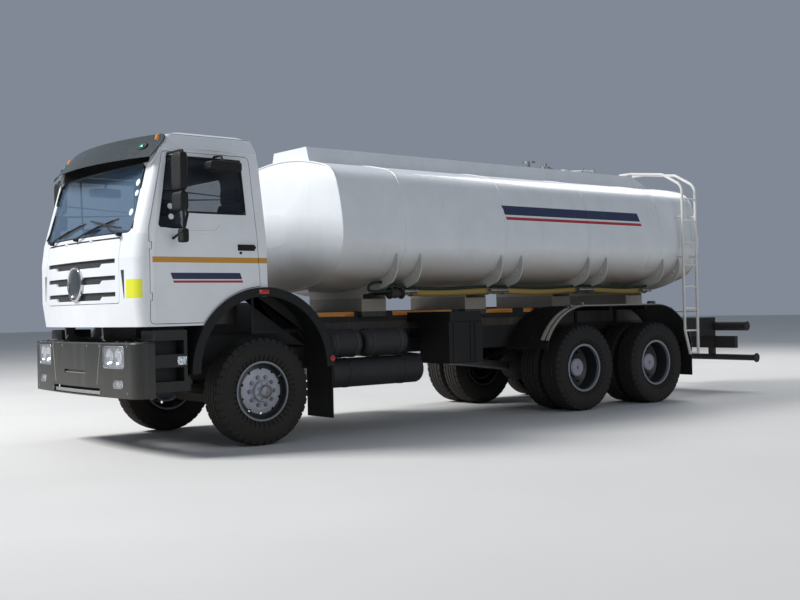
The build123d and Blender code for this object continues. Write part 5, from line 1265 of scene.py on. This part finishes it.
def guard_place(y, share):
    """A place on the guard's skin: share runs from its front end, 0, over both wheels to its rear end, 1."""
    front_x, rear_x = rear_axle_xs
    if share < 0.40:
        turn = radians(28 + 62 * share / 0.40)
        start = Vector((front_x, y, tyre_radius))
    elif share < 0.62:
        turn = pi / 2
        start = Vector((front_x + (rear_x - front_x) * (share - 0.40) / 0.22, y, tyre_radius))
    else:
        turn = radians(90 + 88 * (share - 0.62) / 0.38)
        start = Vector((rear_x, y, tyre_radius))
    way = Vector((cos(turn), 0, sin(turn)))
    place = touch(("rear_mudguards",), start + way * (guard_reach + 0.35), -way)
    if place is None or (place - start).length < guard_reach - 0.05:
        print("no guard at", round(share, 3), round(degrees(turn)))
        return start + way * guard_reach
    return place


def guard_ribbon(name, low_y, high_y, rows=72):
    """A narrow raised ribbon along the guard between two Y places."""
    clear_selection()
    bpy.ops.mesh.primitive_grid_add(x_subdivisions=rows, y_subdivisions=1, size=1)
    ribbon = settle(name)
    for vertex in ribbon.data.vertices:
        share = 1.0 - (vertex.co.x + 0.5)
        y = low_y if vertex.co.y < 0 else high_y
        place = guard_place((low_y + high_y) / 2, share)
        vertex.co = (place.x, y, place.z)
    modify(ribbon, "SOLIDIFY", thickness=0.008, offset=1)
    return soften(ribbon, 0.0025, 2)


guard_edges = join("guard_edge_left", [guard_ribbon("guard_edge_left", *ends)
                                       for ends in ((1.120, 1.180), (1.196, 1.245))])
fit_both(guard_edges, "guard_edge_right", "pale_dust_and_highlight")

# %% [markdown]
# Each guard hangs on tube clamps: a short round bar with a saddle plate and two bolts. A round red reflector
# is screwed to the front flap.

# %% Guard clamps and flap reflectors
def guard_clamp(share):
    """A clamp on the guard's outer edge."""
    place = guard_place(1.16, share)
    low = place - Vector((0.035, 0.030, 0.004))
    plate = soften(block("guard_clamps", low, low + Vector((0.070, 0.060, 0.010))), 0.002, 2)
    rise = Vector((0, 0, 0.022))
    bar = rod("guard_clamps", place + rise - Vector((0, 0.075, 0)), place + rise + Vector((0, 0.040, 0)),
              0.020, 20)
    feet = [place + Vector((x, 0, 0)) for x in (-0.026, 0.026)]
    ends = [rod("guard_clamps", foot, foot + rise, 0.009, 6) for foot in feet]
    return join("guard_clamps", [plate, harden(bar)] + ends)


clamps = join("guard_clamps", [guard_clamp(share) for share in (0.30, 0.40, 0.62, 0.74)])
fit_both(clamps, "guard_clamps_right", "steel")

flap_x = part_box("front_mudguards")[0].x + 0.022
reflector_outline = ((-0.002, 0.030), (0.008, 0.030), (0.010, 0.026), (0.008, 0.024), (0.009, 0.0001))
for side, way in both_sides:
    spot = touch(("front_mudguards",), (flap_x, way * 2.0, 0.830), (0, -way, 0))
    disc = turned(f"flap_reflector_{side}", spot, (0, way, 0), reflector_outline, 32)
    fit(disc, "red_lens")

# %% [markdown]
# # Tank details
# The tank is rolled from several sheets, and a weld bead runs round it where two sheets meet. Rays shot from
# all round towards the tank's middle line give the bead's points, and a closed tube along them is the bead.

# %% Weld beads
tank_middle_z = 2.26


def tank_point(x, turn, lift=0.0):
    """The place on the tank's skin at a station, seen at an angle up from the left side."""
    way = Vector((0, cos(turn), sin(turn)))
    place = touch(("tank_shell",), Vector((x, 0, tank_middle_z)) + way * 2.0, -way)
    return place + way * lift


def bead(name, x, radius, count=96):
    """A weld bead round the tank at a station."""
    turns = [2 * pi * index / count for index in range(count + 1)]
    return tube(name, [tank_point(x, turn) for turn in turns], radius, 1, smooth=False)


seam_steps = (-1.81, -3.33, -4.80, -6.25)
beads = [bead("weld_beads", ahead(step), 0.0070) for step in seam_steps]
for end_x in (ahead(-0.962), ahead(-7.058)):
    beads.append(bead("weld_beads", end_x, 0.011))
fit(join("weld_beads", beads), "tank_white")

# %% [markdown]
# A repair patch was welded to the flank near the tail. It is a grid laid on the skin by rays, given a body
# and softened, so that its edges throw a fine shadow.

# %% Patch on the flank
def flank_patch(name, low, high, lift, cuts=10):
    """A plate between two (X, height) corners, laid on the tank's left flank."""
    clear_selection()
    middle = [(a + b) / 2 for a, b in zip(low, high)]
    bpy.ops.mesh.primitive_grid_add(x_subdivisions=cuts, y_subdivisions=cuts, size=1,
                                    location=(middle[0], 2.0, middle[1]), rotation=(-pi / 2, 0, 0))
    bpy.context.object.scale = (high[0] - low[0], high[1] - low[1], 1)
    sheet = settle(name)
    for vertex in sheet.data.vertices:
        place = touch(("tank_shell",), (vertex.co.x, 3, vertex.co.z), (0, -1, 0))
        vertex.co.y = place.y + lift
    modify(sheet, "SOLIDIFY", thickness=0.005, offset=1)
    return soften(sheet, 0.0015, 2)


patch = flank_patch("flank_patch", (ahead(-6.60), 1.80), (ahead(-6.03), 2.00), -0.001)
fit(patch, "tank_white")

# %% [markdown]
# The lid is pulled down by swing bolts with wing nuts. Each is a small fork on the neck, a rod and a nut with
# two wings. One is made, then copied round the manhole.

# %% Swing bolts round the lid
lid_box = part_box("manhole_lid")
lid_middle = (ahead(-5.930), 0.0)
lid_top = lid_box[0].z + 0.016


def swing_bolt(turn):
    """One bolt at the lid's edge."""
    reach = 0.262
    x, y = lid_middle[0] + reach * cos(turn), reach * sin(turn)
    fork_z = lid_top - 0.040
    fork = rod("swing_bolts", (x - 0.030 * cos(turn), y - 0.030 * sin(turn), fork_z), (x, y, fork_z), 0.011,
               10)
    shank = rod("swing_bolts", (x, y, lid_top - 0.045), (x, y, lid_top + 0.030), 0.007, 12)
    nut = rod("swing_bolts", (x, y, lid_top + 0.004), (x, y, lid_top + 0.018), 0.015, 6)
    wings = rod("swing_bolts", (x - 0.034 * sin(turn), y + 0.034 * cos(turn), lid_top + 0.022),
                (x + 0.034 * sin(turn), y - 0.034 * cos(turn), lid_top + 0.022), 0.006, 8)
    return join("swing_bolts", [fork, shank, nut, wings])


bolts = [swing_bolt(radians(turn)) for turn in (60, 120, 180, 240, 300)]
fit(join("swing_bolts", bolts), "steel")

# %% [markdown]
# A bright round bar lies beside the ochre pipe at each pair of saddles, and a ring at either end of the bar
# holds the pipe. Each ring is an outline of five points spun about the pipe's own line.

# %% Pipe holders
pipe_y = 0.860
pipe_radius = 0.042
pipe_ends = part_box("side_pipe")
holder_runs = ((-1.965, -2.160), (-3.290, -3.600), (-4.850, -5.150), (-6.120, -6.320))


def pipe_middle(step):
    """Height of the pipe's middle at a station, felt from below. Past its ends, the end's own height."""
    on_pipe = min(max(ahead(step), pipe_ends[0].x + 0.02), pipe_ends[1].x - 0.02)
    return touch(("side_pipe",), (on_pipe, pipe_y, 1.2), (0, 0, 1)).z + pipe_radius


def pipe_holder(front, rear):
    """A round bar with a ring at both ends, closed on the pipe."""
    z = pipe_middle((front + rear) / 2)
    y = pipe_y + 0.088
    pieces = [rod("pipe_holders", (ahead(rear), y, z), (ahead(front), y, z), 0.021, 24)]
    for step in (front - 0.018, (front + rear) / 2, rear + 0.018):
        collar = ((ahead(step) - 0.011, y, z), (ahead(step) + 0.011, y, z))
        pieces.append(rod("pipe_holders", *collar, 0.0255, 24))
    for step in (front - 0.030, rear + 0.030):
        place = (ahead(step), pipe_y, pipe_middle(step))
        outline = ((-0.014, 0.040), (-0.014, 0.052), (0.014, 0.052), (0.014, 0.040), (-0.014, 0.040))
        pieces.append(turned("pipe_holders", place, (1, 0, 0), outline, 28))
        pieces.append(block("pipe_holders", (ahead(step) - 0.010, pipe_y + 0.045, z - 0.010),
                            (ahead(step) + 0.010, y, z + 0.010)))
    return join("pipe_holders", [soften(piece, 0.002, 2) for piece in pieces])


fit(join("pipe_holders", [pipe_holder(*run) for run in holder_runs]), "steel")

# %% [markdown]
# A dark green hose is clipped along the pipe's outer shoulder, and at the front it loops back to a valve that
# closes the pipe. The hose is a bent tube whose points are felt on the pipe; the valve is a turned body with
# two flanges, a stem and a short lever.

# %% Hose and valve
finishes["green_hose"] = plastic("green_hose", (0.008, 0.020, 0.012), 0.5, 200.0, 1.0, 0.2)
hose_radius = 0.017
hose_y = pipe_y + 0.030
valve_x, valve_z = ahead(-1.905), 1.497
hose_loop = ((-1.62, 1.510), (-1.50, 1.530), (-1.53, 1.600), (-1.66, 1.625), (-1.80, 1.595), (-1.98, 1.556))
hose_line = [(valve_x + 0.02, hose_y, valve_z + 0.03)]
hose_line += [(ahead(step), hose_y, z) for step, z in hose_loop]
for count in range(24):
    step = -2.12 - 4.18 * count / 23
    hose_line.append((ahead(step), hose_y, pipe_middle(step) + 0.030 + hose_radius))
fit(tube("green_hose", hose_line, hose_radius, 3), "green_hose")

body_outline = ((0.0, 0.0001), (0.0, 0.066), (0.018, 0.066), (0.020, 0.040), (0.050, 0.046), (0.080, 0.058),
                (0.120, 0.058), (0.150, 0.040), (0.165, 0.066), (0.183, 0.066), (0.185, 0.030),
                (0.200, 0.0001))
body = turned("pipe_valve", (valve_x - 0.10, pipe_y, valve_z), (1, 0, 0), body_outline, 32)
stem = rod("pipe_valve", (valve_x, pipe_y, valve_z + 0.04), (valve_x, pipe_y, valve_z + 0.105), 0.014, 16)
lever = block("pipe_valve", (valve_x - 0.130, pipe_y - 0.010, valve_z + 0.094),
              (valve_x + 0.014, pipe_y + 0.012, valve_z + 0.104))
hanger = block("pipe_valve", (valve_x - 0.012, 0.480, valve_z - 0.020),
               (valve_x + 0.012, pipe_y - 0.030, valve_z + 0.020))
valve = join("pipe_valve", [body, stem, soften(lever, 0.003, 2), soften(hanger, 0.003, 2)])
fit(valve, "iron")

# %% [markdown]
# Amber reflector strips run along the tank's own frame, in the gaps between its cross boxes. They are stuck
# on a thin flat bar that is bolted to the frame's side and stands up a little above it.

# %% Amber side strips
rail_y = 0.430
strip_bar = block("strip_bar", (ahead(-4.62), rail_y, 1.185), (ahead(-1.02), rail_y + 0.010, 1.303))
soften(strip_bar, 0.002, 1)
bar_bolts = [rod("strip_bar", (ahead(-1.10 - 0.32 * index), rail_y + 0.008, 1.212),
                 (ahead(-1.10 - 0.32 * index), rail_y + 0.018, 1.212), 0.011, 6) for index in range(11)]
strip_bar = join("strip_bar", [strip_bar] + bar_bolts)
fit_both(strip_bar, "strip_bar_right", "frame_grey")
strips = []
for start, end in ((-1.07, -1.64), (-2.20, -3.12), (-3.70, -4.16), (-4.36, -4.57)):
    strip = block("side_strips", (ahead(end), rail_y + 0.009, 1.247), (ahead(start), rail_y + 0.014, 1.298))
    strips.append(soften(strip, 0.0015, 2))
strips = join("side_strips", strips)
fit_both(strips, "side_strips_right", "amber_lens")

# %% [markdown]
# # The tail
# A lamp cluster is a dark box with three lenses, each a softened block of its own colour.

# %% Tail lamps
rear_bar_x = touch(("rear_carrier",), (-8, 0.6, 0.715), (1, 0, 0)).x
lamp_inner_y = 0.490
lamp_length = 0.270
lens_layout = (("red_lens", 0.000, 0.110), ("amber_lens", 0.115, 0.195), ("lamp_clear", 0.200, 0.260))
for side, way in both_sides:
    ends = sorted((way * lamp_inner_y, way * (lamp_inner_y + lamp_length)))
    house = block(f"tail_lamp_{side}", (rear_bar_x - 0.016, ends[0], 0.655),
                  (rear_bar_x + 0.002, ends[1], 0.775))
    fit(soften(house, 0.005, 2), "black_plastic")
    for finish, low, high in lens_layout:
        ends = sorted((way * (lamp_inner_y + 0.005 + low), way * (lamp_inner_y + 0.005 + high)))
        lens = block(f"tail_{finish}_{side}", (rear_bar_x - 0.026, ends[0], 0.662),
                     (rear_bar_x - 0.010, ends[1], 0.768))
        fit(soften(lens, 0.006, 3), finish)

# %% [markdown]
# # Seats
# A seat is a padded thing, so its cushion and back are crowned: a box is cut into a few faces, its middle is
# raised, and subdivision rounds it.

# %% Padded seats
def pad(name, low, high, crown):
    """A crowned cushion between two corners."""
    piece = block(name, low, high)
    edit(piece, "SELECT")
    bpy.ops.mesh.subdivide(number_cuts=5)
    bpy.ops.object.mode_set(mode="OBJECT")
    low, high = Vector(low), Vector(high)
    half, middle = (high - low) / 2, (high + low) / 2
    for vertex in piece.data.vertices:
        share = [(vertex.co[axis] - middle[axis]) / half[axis] for axis in range(3)]
        swell = (1 - share[0] ** 2) * (1 - share[1] ** 2) + (1 - share[1] ** 2) * (1 - share[2] ** 2)
        vertex.co += Vector([value * crown * swell for value in share])
    modify(piece, "SUBSURF", levels=2, render_levels=2)
    return harden(piece, 60)


for side, way in both_sides:
    y0, y1 = sorted((way * 0.460, way * 0.940))
    cushion = pad(f"seat_cushion_{side}", (ahead(0.16), y0, 1.640), (ahead(0.63), y1, 1.745), 0.012)
    back = pad(f"seat_back_{side}", (ahead(0.10), y0 + 0.01, 1.760), (ahead(0.20), y1 - 0.01, 2.420), 0.012)
    edit(back, "SELECT")
    bpy.ops.transform.rotate(value=radians(8), orient_axis="Y", center_override=(ahead(0.16), 0, 1.76))
    bpy.ops.object.mode_set(mode="OBJECT")
    head_y = way * (0.460 + 0.940) / 2
    head = pad(f"seat_head_{side}", (ahead(0.045), head_y - 0.14, 2.425),
               (ahead(0.125), head_y + 0.14, 2.560),
               0.010)
    for piece in (cushion, back, head):
        fit(piece, "seat_fabric", "cab")
    base = block(f"seat_base_{side}", (ahead(0.20), y0 + 0.03, 1.50), (ahead(0.56), y1 - 0.03, 1.645))
    fit(soften(base, 0.01, 2), "black_plastic", "cab")
    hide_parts("seats")

# %% [markdown]
# # Floor, light and camera
# The truck stands on a plain pale floor. The sun stood high ahead of the cab on the far side, so the nose and
# the tank's top are bright and the near flank lies in open shade. One large soft lamp stands for that sun, a
# weak one fills the near side, and one from behind draws the rear edges. The sky is a pale blue world.

# %% Floor
clear_selection()
bpy.ops.mesh.primitive_plane_add(size=160, location=(0, 0, -0.001))
floor = settle("floor")
floor_graph = Graph("floor_pale", roughness=0.85)
floor_tone = floor_graph.noise(0.35, detail=3).ramp(0.2, 0.8)
floor_graph.feed(base_color=floor_graph.blend(floor_tone, (0.60, 0.59, 0.57), (0.66, 0.65, 0.63)))
floor.data.materials.append(floor_graph.material)

# %% Lamps
def soft_lamp(name, place, target, power, size):
    """A square area lamp that looks at a target."""
    lamp = bpy.data.lights.new(name, "AREA")
    lamp.energy = power
    lamp.size = size
    holder = bpy.data.objects.new(name, lamp)
    holder.location = place
    holder.rotation_euler = (Vector(target) - Vector(place)).to_track_quat("-Z", "Y").to_euler()
    bpy.context.scene.collection.objects.link(holder)


soft_lamp("key_lamp", (16, -7, 15), (0, 0, 1.5), 5400, 6)
soft_lamp("fill_lamp", (2, 20, 7), (-1, 0, 1.5), 480, 12)
soft_lamp("rim_lamp", (-14, -4, 12), (-2, 0, 2), 1300, 8)
world = bpy.data.worlds.new("studio")
world.use_nodes = True
world.node_tree.nodes["Background"].inputs["Color"].default_value = (0.72, 0.83, 1.0, 1)
world.node_tree.nodes["Background"].inputs["Strength"].default_value = 0.30
bpy.context.scene.world = world

# %% [markdown]
# The camera stands where the photographer stood. Its heading, tilt and lean were found by matching known
# places on the truck with the same points in the photograph.

# %% Camera
camera_place = Vector((9.306, 10.368, 1.325))
camera_heading = -2.2527
camera_tilt = 0.0077
camera_lean = -0.0212
focal_share = 1091.38 / 800
forward = Vector((cos(camera_heading) * cos(camera_tilt), sin(camera_heading) * cos(camera_tilt),
                  sin(camera_tilt)))
level_right = Vector((sin(camera_heading), -cos(camera_heading), 0))
level_up = level_right.cross(forward)
right = level_right * cos(camera_lean) + level_up * sin(camera_lean)
up = level_up * cos(camera_lean) - level_right * sin(camera_lean)
camera = bpy.data.objects.new("camera", bpy.data.cameras.new("camera"))
camera.data.sensor_width = 36
camera.data.lens = focal_share * 36
camera.matrix_world = Matrix.Translation(camera_place) @ Matrix((right, up, -forward)).transposed().to_4x4()
bpy.context.scene.collection.objects.link(camera)
bpy.context.scene.camera = camera
bpy.context.scene.view_settings.view_transform = "Standard"
